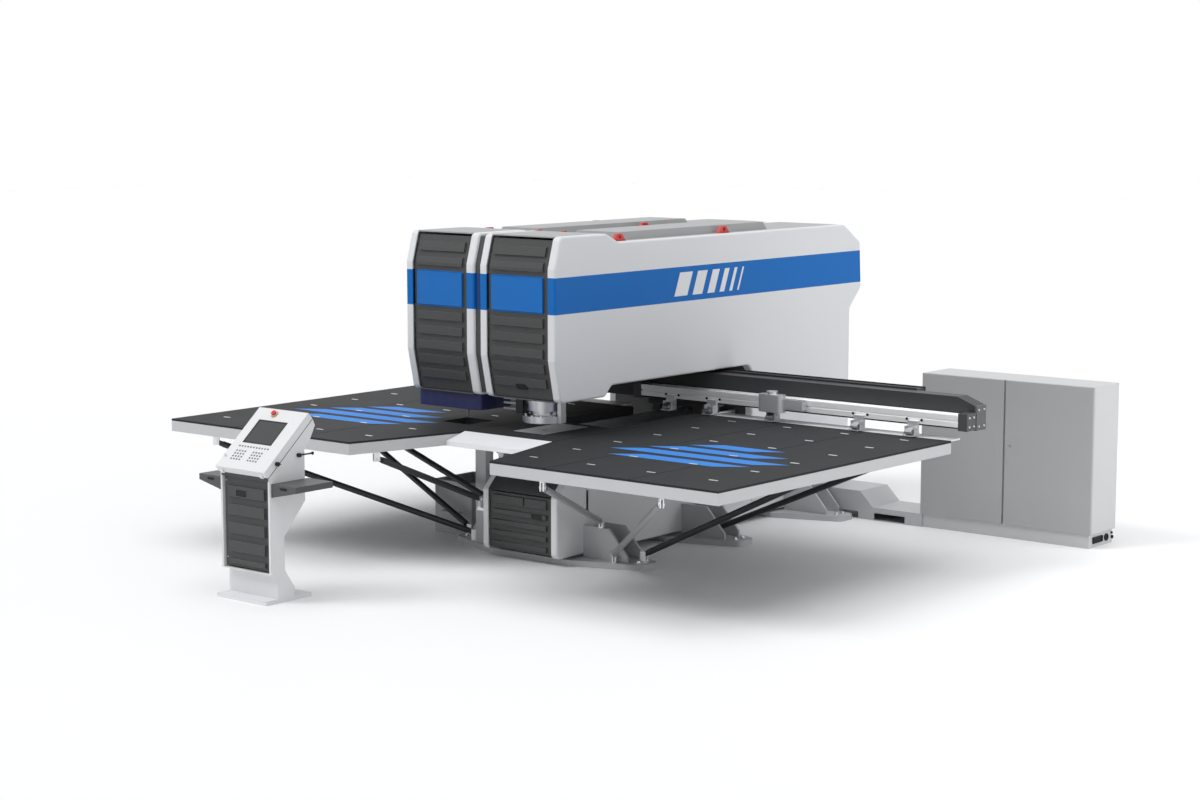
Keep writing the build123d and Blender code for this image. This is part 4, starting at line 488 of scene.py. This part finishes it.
for middle_x in ribbon_middle_xs:
    for row, length in enumerate(ribbon_lengths):
        y = ribbon_front_y + row * ribbon_pitch
        outline = [
            (middle_x - length / 2, y, table_top_z),
            (middle_x + length / 2, y, table_top_z),
            (middle_x + length / 2 + ribbon_lean, y + ribbon_w, table_top_z),
            (middle_x - length / 2 + ribbon_lean, y + ribbon_w, table_top_z),
        ]
        prism(ribbons, outline, (0, 0, foil_t))
new_piece("table_ribbons", mesh_from("table_ribbons", ribbons), table_blue, "machine")
insert_steel = bright_metal("insert_steel", (0.78, 0.79, 0.80), gloss=0.42, grain=500, along="X")
dress(insert_steel, "table_inserts")

# Aprons: folded steel sheets sprayed white, one that slopes in the front notch and strips that
# stand behind the tables.
apron_white = coat("apron_white", (0.88, 0.89, 0.90), gloss=0.35, peel=260, tone=0.01)
dress(apron_white, "table_aprons")

# Punch head: a turned steel stack of flange, tool ring and stripper, ground bright, with cap
# screws round the stripper.
turned_steel = bright_metal("turned_steel", (0.56, 0.57, 0.59), gloss=0.30, grain=900, along="Z")
dress(turned_steel, "punch_cylinder", "punch_flange", "tool_ring", "stripper_ring", "punch_ram")
dress(turned_steel, "die_holder", "die_ring")
cap_screw = bolt_size(head_r=0.008, head_h=0.007, washer_r=0.0085, washer_h=0.001, sides=12)
ring_count = 12
ring_r = 0.150
stripper_top_z = 1.122
ring_turns = [math.tau * i / ring_count for i in range(ring_count)]
stripper_points = [
    (ring_r * math.cos(turn), ring_r * math.sin(turn), stripper_top_z)
    for turn in ring_turns
]
bolts("stripper_screws", stripper_points, cap_screw, face_up, zinc, "machine")

# Tool changer: a black-coated metal block to the left of the punch, with bright rods that reach
# out of it to the left.
changer_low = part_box("tool_changer")[0]
rod_end_x = -0.2505
rod_over = 0.01
rod_bright = (0.90, 0.91, 0.92)
changer = coat("changer", (0.014, 0.014, 0.015), gloss=0.35, peel=700, tone=0.05, edge=0.3)
overspray(changer, between(changer.node_tree, "X", changer_low.x - rod_over, rod_end_x), rod_bright)
dress(changer, "tool_changer")

# Laser curtain: a skirt of coated navy cloth that hangs round the cutting head in soft folds.
# The head itself is bare bright metal.
curtain_navy = coat("curtain_navy", (0.010, 0.014, 0.085), gloss=0.55, peel=1400, tone=0.12)
tree = curtain_navy.node_tree
place = tree.nodes.new("ShaderNodeTexCoord")
flat = tree.nodes.new("ShaderNodeMapping")
flat.inputs["Scale"].default_value = (1, 1, 0)
pleat = tree.nodes.new("ShaderNodeTexWave")
pleat.bands_direction = "DIAGONAL"
pleat.inputs["Scale"].default_value = 6.0
fold = tree.nodes.new("ShaderNodeBump")
fold.inputs["Strength"].default_value = 0.5
fold.inputs["Distance"].default_value = 0.004
cloth = tree.nodes["Principled BSDF"]
under = cloth.inputs["Normal"].links[0].from_socket
tree.links.new(place.outputs["Object"], flat.inputs["Vector"])
tree.links.new(flat.outputs["Vector"], pleat.inputs["Vector"])
tree.links.new(pleat.outputs["Fac"], fold.inputs["Height"])
tree.links.new(under, fold.inputs["Normal"])
tree.links.new(fold.outputs["Normal"], cloth.inputs["Normal"])
dress(curtain_navy, "laser_curtain")
head_metal = bright_metal("head_metal", (0.70, 0.71, 0.72), gloss=0.28, grain=700, along="Z")
dress(head_metal, "laser_head")

# Guides of the cross beam: steel rails and a rack, ground bright and fixed along the lower
# arm.
guide_steel = bright_metal("guide_steel", (0.52, 0.53, 0.55), gloss=0.28, grain=600, along="Y")
dress(guide_steel, "y_guides")

# Cross beam and saddle: a box beam sprayed anthracite, closed by grey plates. The right plate
# is held by four socket screws.
beam_dark = coat("beam_dark", (0.040, 0.041, 0.043), gloss=0.46, peel=420, tone=0.08, edge=0.4, shine=0.3)
dress(beam_dark, "beam_saddle", "x_beam")
end_grey = coat("end_grey", (0.088, 0.090, 0.092), gloss=0.42, peel=330, tone=0.05, edge=0.3)
dress(end_grey, "beam_ends")
plate_low, plate_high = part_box("beam_ends")
screw_inset = 0.032
socket_screw = bolt_size(head_r=0.0085, head_h=0.006, washer_r=0.009, washer_h=0.001, sides=12)


def corners(x, low, high):
    """Four points near the corners of an end face, at x."""
    ys = (low.y + screw_inset, high.y - screw_inset)
    zs = (low.z + screw_inset, high.z - screw_inset)
    return [(x, y, z) for y in ys for z in zs]


beam_points = corners(plate_high.x, plate_low, plate_high)
bolts("beam_screws", beam_points, socket_screw, face_right, zinc, "cross_beam")

# Cable tray: a channel of folded sheet steel, sprayed black, open at the top and fixed behind
# the beam.
tray_black = coat("tray_black", (0.016, 0.016, 0.017), gloss=0.5, peel=500, tone=0.08, edge=0.4)
dress(tray_black, "cable_tray")

# Clamp rail: a drawn aluminium profile that runs along the beam, closed by dark end blocks with
# four socket screws in each.
rail_alu = bright_metal("rail_alu", (0.95, 0.955, 0.96), gloss=0.54, grain=500, along="X")
dress(rail_alu, "clamp_rail")
block_dark = coat("block_dark", (0.055, 0.057, 0.06), gloss=0.4, peel=420, tone=0.06, edge=0.4)
dress(block_dark, "rail_ends")
block_low, block_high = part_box("rail_ends")
rail_faces = {"rail_screws_right": (block_high.x, face_right), "rail_screws_left": (block_low.x, face_left)}
for name, (x, turn) in rail_faces.items():
    rail_points = corners(x, block_low, block_high)
    bolts(name, rail_points, socket_screw, turn, zinc, "clamp_carriage")

# Clamps and gripper unit: milled steel bodies with hardened jaws on cross pins. Two black screws
# hold each clamp to the front of the rail.
clamp_metal = bright_metal("clamp_metal", (0.66, 0.67, 0.68), gloss=0.38, grain=400, along="X")
dress(clamp_metal, "clamp_bodies")
jaw_steel = bright_metal("jaw_steel", (0.36, 0.37, 0.38), gloss=0.36, grain=700, along="Y")
dress(jaw_steel, "clamp_jaws")
clamp_xs = (0.05, 0.474, 1.903, 2.395)
rail_front_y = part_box("clamp_rail")[0].y
clamp_screw_half = 0.066
clamp_screw_z = 1.128
clamp_screw = bolt_size(head_r=0.009, head_h=0.007, washer_r=0.011, washer_h=0.002, sides=12)
clamp_screw_xs = [x + side * clamp_screw_half for x in clamp_xs for side in (-1, 1)]
clamp_points = [(x, rail_front_y, clamp_screw_z) for x in clamp_screw_xs]
bolts("clamp_screws", clamp_points, clamp_screw, face_front, latch_black, "clamp_carriage")

# Switch cabinet: a sheet-steel enclosure in a fine-textured pale grey, with two doors on its front
# in a darker grey that is painted shade, and a quarter-turn lock.
cabinet_pale = coat("cabinet_pale", (0.57, 0.575, 0.58), gloss=0.5, peel=900, tone=0.015)
dress(cabinet_pale, "cabinet_body")
# Painted shade: the front doors take a darker copy of the pale grey, for the shadow of the hood on them.
cabinet_front_shade = coat("cabinet_front_shade", (0.42, 0.425, 0.43), gloss=0.5, peel=900, tone=0.015)
dress(cabinet_front_shade, "cabinet_door_left", "cabinet_door_right")
dress(coat("module_grey", (0.55, 0.56, 0.57), gloss=0.45, peel=500, tone=0.08), "cabinet_modules")
lock = bolt_size(head_r=0.008, head_h=0.003, washer_r=0.015, washer_h=0.003, sides=3)
lock_x = 2.435
lock_z = 0.772
cabinet_front_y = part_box("cabinet_door_right")[0].y
lock_points = [(lock_x, cabinet_front_y, lock_z)]
bolts("cabinet_lock", lock_points, lock, face_front, zinc, "cabinet_right")

# Connectors on the plinth: a moulded socket block and three round sockets for the supply cables,
# black plastic with raised rims, fixed to the right face of the plinth.
plinth_x = 3.160
socket_low = (3.035, 0.033)
socket_high = (3.195, 0.083)
socket_rise = 0.012
socket_step_shares = ((0.0, 0.0), (0.0, 1.0), (0.6, 1.0), (1.0, 0.35))
socket_lip = 0.010
round_sockets = ((3.262, 0.056, 0.030), (3.352, 0.080, 0.010), (3.362, 0.045, 0.014))
round_rise = 0.011
round_floor = 0.004
round_lip_share = 0.82
round_bore_share = 0.7
round_sides = 24
along_y = Vector((0, 1, 0))
along_z = Vector((0, 0, 1))


def lathe(shape, middle, across, up, steps, sides, ring=False):
    """Turns (radius, height) steps round an axis, into a capped body or a ring."""
    out = across.cross(up)
    turns = [math.tau * i / sides for i in range(sides)]
    spokes = [across * math.cos(turn) + up * math.sin(turn) for turn in turns]
    loops = [[middle + spoke * radius + out * height for spoke in spokes] for radius, height in steps]
    bridge(shape, loops, ring)


def rectangle(low, high, grow):
    """The corners of a rectangle that is grown on all sides, in order round it."""
    left, foot = (place - grow for place in low)
    right, top = (place + grow for place in high)
    return [(left, foot), (right, foot), (right, top), (left, top)]


sockets = bmesh.new()
loops = []
for inset_share, rise_share in socket_step_shares:
    outline = rectangle(socket_low, socket_high, -inset_share * socket_lip)
    loops.append([(plinth_x + rise_share * socket_rise, y, z) for y, z in outline])
bridge(sockets, loops)
for y, z, radius in round_sockets:
    lip_r = radius * round_lip_share
    bore_r = radius * round_bore_share
    steps = ((radius, 0.0), (radius, round_rise), (lip_r, round_rise), (bore_r, round_floor))
    lathe(sockets, Vector((plinth_x, y, z)), along_y, along_z, steps, round_sides)
dull_black = (0.008, 0.008, 0.009)
socket_black = coat("socket_black", dull_black, gloss=0.5, peel=1500, tone=0.05, edge=0.2, shine=0.2)
new_piece("plinth_sockets", mesh_from("plinth_sockets", sockets), socket_black, "machine")

# Console: a bent pedestal with a dark rail above its door, and a sloping lid, both white. The
# lid carries a dark screen and rows of square keys.
lid_white = (0.78, 0.79, 0.80)
console_white = coat("console_white", lid_white, gloss=0.42, peel=300, tone=0.012, shine=0.3)
dress(console_white, "console_lid")
console_low, console_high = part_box("console_body")
door_low, door_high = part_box("console_door")
door_rail_top_z = 0.9125
door_rail_front_y = -2.60
door_rail_rear_y = -2.57
door_rail_inset = 0.010
pedestal_white = coat("pedestal_white", lid_white, gloss=0.42, peel=300, tone=0.012, shine=0.3)
tree = pedestal_white.node_tree
rail_mask = between(tree, "Z", door_high.z, door_rail_top_z)
rail_mask = join_masks(tree, rail_mask, between(tree, "Y", door_rail_front_y, door_rail_rear_y))
across = between(tree, "X", console_low.x + door_rail_inset, console_high.x - door_rail_inset)
overspray(pedestal_white, join_masks(tree, rail_mask, across), anthracite)
dress(pedestal_white, "console_body")
screen_dark = coat("screen_dark", (0.030, 0.031, 0.033), gloss=0.16, peel=2000, tone=0.05)
dress(screen_dark, "console_screen")
panel_front = Vector((0, -2.635, 0.955))
panel_rise = 0.381
panel_run = 0.436
panel_slope = math.atan2(panel_rise, panel_run)
panel_up = Vector((0, math.cos(panel_slope), math.sin(panel_slope)))
panel_out = Vector((0, -math.sin(panel_slope), math.cos(panel_slope)))
face_panel = (panel_slope, 0, 0)


def on_panel(x, up, out=0.0):
    """A point of the sloping panel: across, up the slope from its front edge, and off it."""
    return Vector((x, 0, 0)) + panel_front + panel_up * up + panel_out * out


key_grey = coat("key_grey", (0.17, 0.175, 0.18), gloss=0.4, peel=1500, tone=0.10, edge=0.4)
key_cap = bolt_size(head_r=0.0075, head_h=0.003, washer_r=0.0078, washer_h=0.0008, sides=4)
row_count = 11
row_x = -0.753
row_pitch = 0.0295
row_up = 0.209
block_count = 4
block_xs = (-0.747, -0.573)
block_pitch = 0.029
block_up = 0.087
block_step = 0.026
key_row = [(row_x + row_pitch * i, row_up) for i in range(row_count)]
key_block = [
    (x + block_pitch * i, block_up + block_step * j)
    for x in block_xs
    for i in range(block_count)
    for j in range(block_count)
]
key_points = [on_panel(x, up) for x, up in key_row + key_block]
key_spin = math.pi / 4
bolts("panel_keys", key_points, key_cap, face_panel, key_grey, "panel_lid", spin=key_spin)

# Screen bezel: a narrow frame moulded in black plastic, pressed round the glass and chamfered
# to the panel.
screen_low = (-0.745, 0.253)
screen_high = (-0.465, 0.457)
bezel_steps = ((0.010, 0.0), (0.008, 0.003), (0.001, 0.003), (0.0, 0.0012))
bezel = bmesh.new()
loops = []
for grow, out in bezel_steps:
    loops.append([on_panel(x, up, out) for x, up in rectangle(screen_low, screen_high, grow)])
bridge(bezel, loops, ring=True)
new_piece("screen_bezel", mesh_from("screen_bezel", bezel), latch_black, "panel_lid")

# Controls of the console: a turned yellow collar with a rounded lip under the red stop button,
# a chromed key switch, a black knob and lever, and dark shelves on both sides.
stop_place = (-0.641, 0.528)
collar_bore_r = 0.0235
collar_r = 0.030
collar_h = 0.004
collar_edge = 0.0015
collar_steps = (
    (collar_bore_r, 0.0),
    (collar_r, 0.0),
    (collar_r, collar_h - collar_edge),
    (collar_r - collar_edge, collar_h),
    (collar_bore_r + collar_edge, collar_h),
    (collar_bore_r, collar_h - collar_edge),
)
collar_sides = 40
along_x = Vector((1, 0, 0))
collar = bmesh.new()
lathe(collar, on_panel(*stop_place), along_x, panel_up, collar_steps, collar_sides, ring=True)
collar_yellow = coat("collar_yellow", (0.62, 0.40, 0.03), gloss=0.35, peel=1500, tone=0.05)
new_piece("stop_collar", mesh_from("stop_collar", collar), collar_yellow, "panel_lid")
dress(coat("stop_red", (0.66, 0.02, 0.02), gloss=0.28, peel=900, tone=0.04), "stop_button")
dress(bright_metal("key_chrome", (0.7, 0.7, 0.72), gloss=0.2, grain=900, along="Z"), "key_switch")
dress(latch_black, "lid_knob", "lid_lever")
shelf_dark = coat("shelf_dark", anthracite, gloss=0.45, peel=420, tone=0.08, edge=0.4)
dress(shelf_dark, "console_shelves")

# Hand-hole caps: dished mouldings in black plastic, pressed into the slots of the shelf
# flanges.
shelf_low, shelf_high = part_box("console_shelves")
cap_half_w = 0.027
cap_r = 0.0079
cap_z = 0.842
cap_steps = ((0.0012, -0.0008), (-0.0004, -0.0018), (-0.0022, 0.0006), (-0.003, 0.003))
cap_arc = 8
caps = bmesh.new()
shelf_half = (console_low.x - shelf_low.x) / 2
for middle_x in (shelf_low.x + shelf_half, shelf_high.x - shelf_half):
    for face_y, inward in ((shelf_low.y, 1), (shelf_high.y, -1)):
        loops = []
        for grow, depth in cap_steps:
            loop = []
            for side in (1, -1):
                for i in range(cap_arc + 1):
                    turn = math.pi * (i / cap_arc - 0.5)
                    x = middle_x + side * (cap_half_w + (cap_r + grow) * math.cos(turn))
                    z = cap_z + side * (cap_r + grow) * math.sin(turn)
                    loop.append((x, face_y + inward * depth, z))
            loops.append(loop)
        bridge(caps, loops)
new_piece("shelf_caps", mesh_from("shelf_caps", caps), latch_black, "machine")

# Lid hinges: two small white mouldings on the front edge of the lid, at the line on which it
# tips forward.
hinge_half_w = 0.013
hinge_xs = (-0.795, -0.381)
hinge_heights = (-0.058, -0.058, -0.050, -0.034, -0.022, -0.022)
hinge_outs = (0.0, 0.010, 0.014, 0.014, 0.004, 0.0)
hinges = bmesh.new()
for x in hinge_xs:
    outline = [on_panel(x - hinge_half_w, -out, height) for height, out in zip(hinge_heights, hinge_outs)]
    prism(hinges, outline, (2 * hinge_half_w, 0, 0))
new_piece("lid_hinges", mesh_from("lid_hinges", hinges), vinyl_white, "panel_lid")

# Lid seal: a black rubber strip that lies in the seam between the lid and the pedestal, a
# little proud of both.
seal_h = -0.0602
seal_half_t = 0.0022
seal_proud = 0.0008
seal_w = 0.006
seal_len = 0.579
seal_grows = (seal_proud, seal_proud, -seal_w, -seal_w)
seal_rises = (-seal_half_t, seal_half_t, seal_half_t, -seal_half_t)
seal = bmesh.new()
loops = []
for grow, rise in zip(seal_grows, seal_rises):
    outline = rectangle((console_low.x, 0), (console_high.x, seal_len), grow)
    loops.append([on_panel(x, up, seal_h + rise) for x, up in outline])
bridge(seal, loops, ring=True)
new_piece("lid_seal", mesh_from("lid_seal", seal), socket_black, "machine")

# Door pins: zinc-plated steel pins pressed into the console door near its free edge, of which
# the two round heads show.
pin = bolt_size(head_r=0.0045, head_h=0.003, washer_r=0.0055, washer_h=0.001, sides=12)
pin_inset = 0.012
pin_y = -2.566
pin_zs = (0.287, 0.849)
pin_points = [(door_low.x + pin_inset, pin_y, z) for z in pin_zs]
bolts("door_pins", pin_points, pin, face_front, zinc, "console_front_door")

# Floor, light and camera: a pale studio floor, a soft light from the front left, one from
# above, a weak one and a bright panel from the right, and a long lens from the operator's side.
floor = bpy.data.meshes.new("studio_floor")
reach = 60.0
floor_corners = [(-reach, -reach, 0), (reach, -reach, 0), (reach, reach, 0), (-reach, reach, 0)]
floor.from_pydata(floor_corners, [], [(0, 1, 2, 3)])
ground = bpy.data.objects.new("studio_floor", floor)
bpy.context.scene.collection.objects.link(ground)
pale = bpy.data.materials.new("studio_pale")
pale.use_nodes = True
pale_paint = pale.node_tree.nodes["Principled BSDF"]
pale_paint.inputs["Base Color"].default_value = (0.97, 0.97, 0.97, 1)
pale_paint.inputs["Roughness"].default_value = 0.7
floor.materials.append(pale)

world = bpy.data.worlds.new("studio")
bpy.context.scene.world = world
world.use_nodes = True
sky = world.node_tree
dome = sky.nodes["Background"]
dome.inputs["Color"].default_value = (0.95, 0.97, 1.0, 1)
dome.inputs["Strength"].default_value = 0.35
backdrop = sky.nodes.new("ShaderNodeBackground")
backdrop.inputs["Color"].default_value = (1, 1, 1, 1)
backdrop.inputs["Strength"].default_value = 1.0
ray = sky.nodes.new("ShaderNodeLightPath")
seen = sky.nodes.new("ShaderNodeMath")
seen.operation = "MAXIMUM"
shown = sky.nodes.new("ShaderNodeMath")
shown.operation = "MAXIMUM"
pick = sky.nodes.new("ShaderNodeMixShader")
sky.links.new(ray.outputs["Is Camera Ray"], seen.inputs[0])
sky.links.new(ray.outputs["Is Glossy Ray"], seen.inputs[1])
sky.links.new(seen.outputs[0], shown.inputs[0])
sky.links.new(ray.outputs["Is Transmission Ray"], shown.inputs[1])
sky.links.new(shown.outputs[0], pick.inputs[0])
sky.links.new(dome.outputs[0], pick.inputs[1])
sky.links.new(backdrop.outputs[0], pick.inputs[2])
sky.links.new(pick.outputs[0], sky.nodes["World Output"].inputs["Surface"])


def soft_light(name, towards, spread, level):
    """A far, wide lamp in a direction; level 1 lights a white card square to it to full white."""
    lamp = bpy.data.lights.new(name, "SUN")
    lamp.angle = math.radians(spread)
    lamp.energy = level * math.pi
    stand = bpy.data.objects.new(name, lamp)
    stand.rotation_euler = Vector(towards).to_track_quat("Z", "Y").to_euler()
    bpy.context.scene.collection.objects.link(stand)


soft_light("key_light", towards=(-0.55, -0.65, 0.9), spread=25, level=0.33)
soft_light("top_light", towards=(0.05, -0.1, 1.0), spread=60, level=0.40)
soft_light("fill_light", towards=(0.9, -0.15, 0.6), spread=50, level=0.074)
side_panel = bpy.data.lights.new("side_panel", "AREA")
side_panel.size = 3.0
side_panel.energy = 75.0
side_stand = bpy.data.objects.new("side_panel", side_panel)
side_stand.location = (7.5, 4.5, 2.6)
side_facing = Vector((4.3, 1.3, 1.9))
side_stand.rotation_euler = side_facing.to_track_quat("Z", "Y").to_euler()
bpy.context.scene.collection.objects.link(side_stand)

view_yaw = math.radians(39.5385)
view_pitch = math.radians(7.4444)
ahead = Vector((-math.sin(view_yaw), math.cos(view_yaw), 0))
look = ahead * math.cos(view_pitch) - along_z * math.sin(view_pitch)
lens = bpy.data.cameras.new("photo_view")
lens.sensor_fit = "HORIZONTAL"
lens.sensor_width = 36.0
lens.lens = 70.595
lens.clip_end = 300.0
camera = bpy.data.objects.new("photo_view", lens)
camera.location = (11.9088, -13.7466, 3.612)
camera.rotation_euler = look.to_track_quat("-Z", "Y").to_euler()
bpy.context.scene.collection.objects.link(camera)
bpy.context.scene.camera = camera
bpy.context.scene.view_settings.view_transform = "Standard"
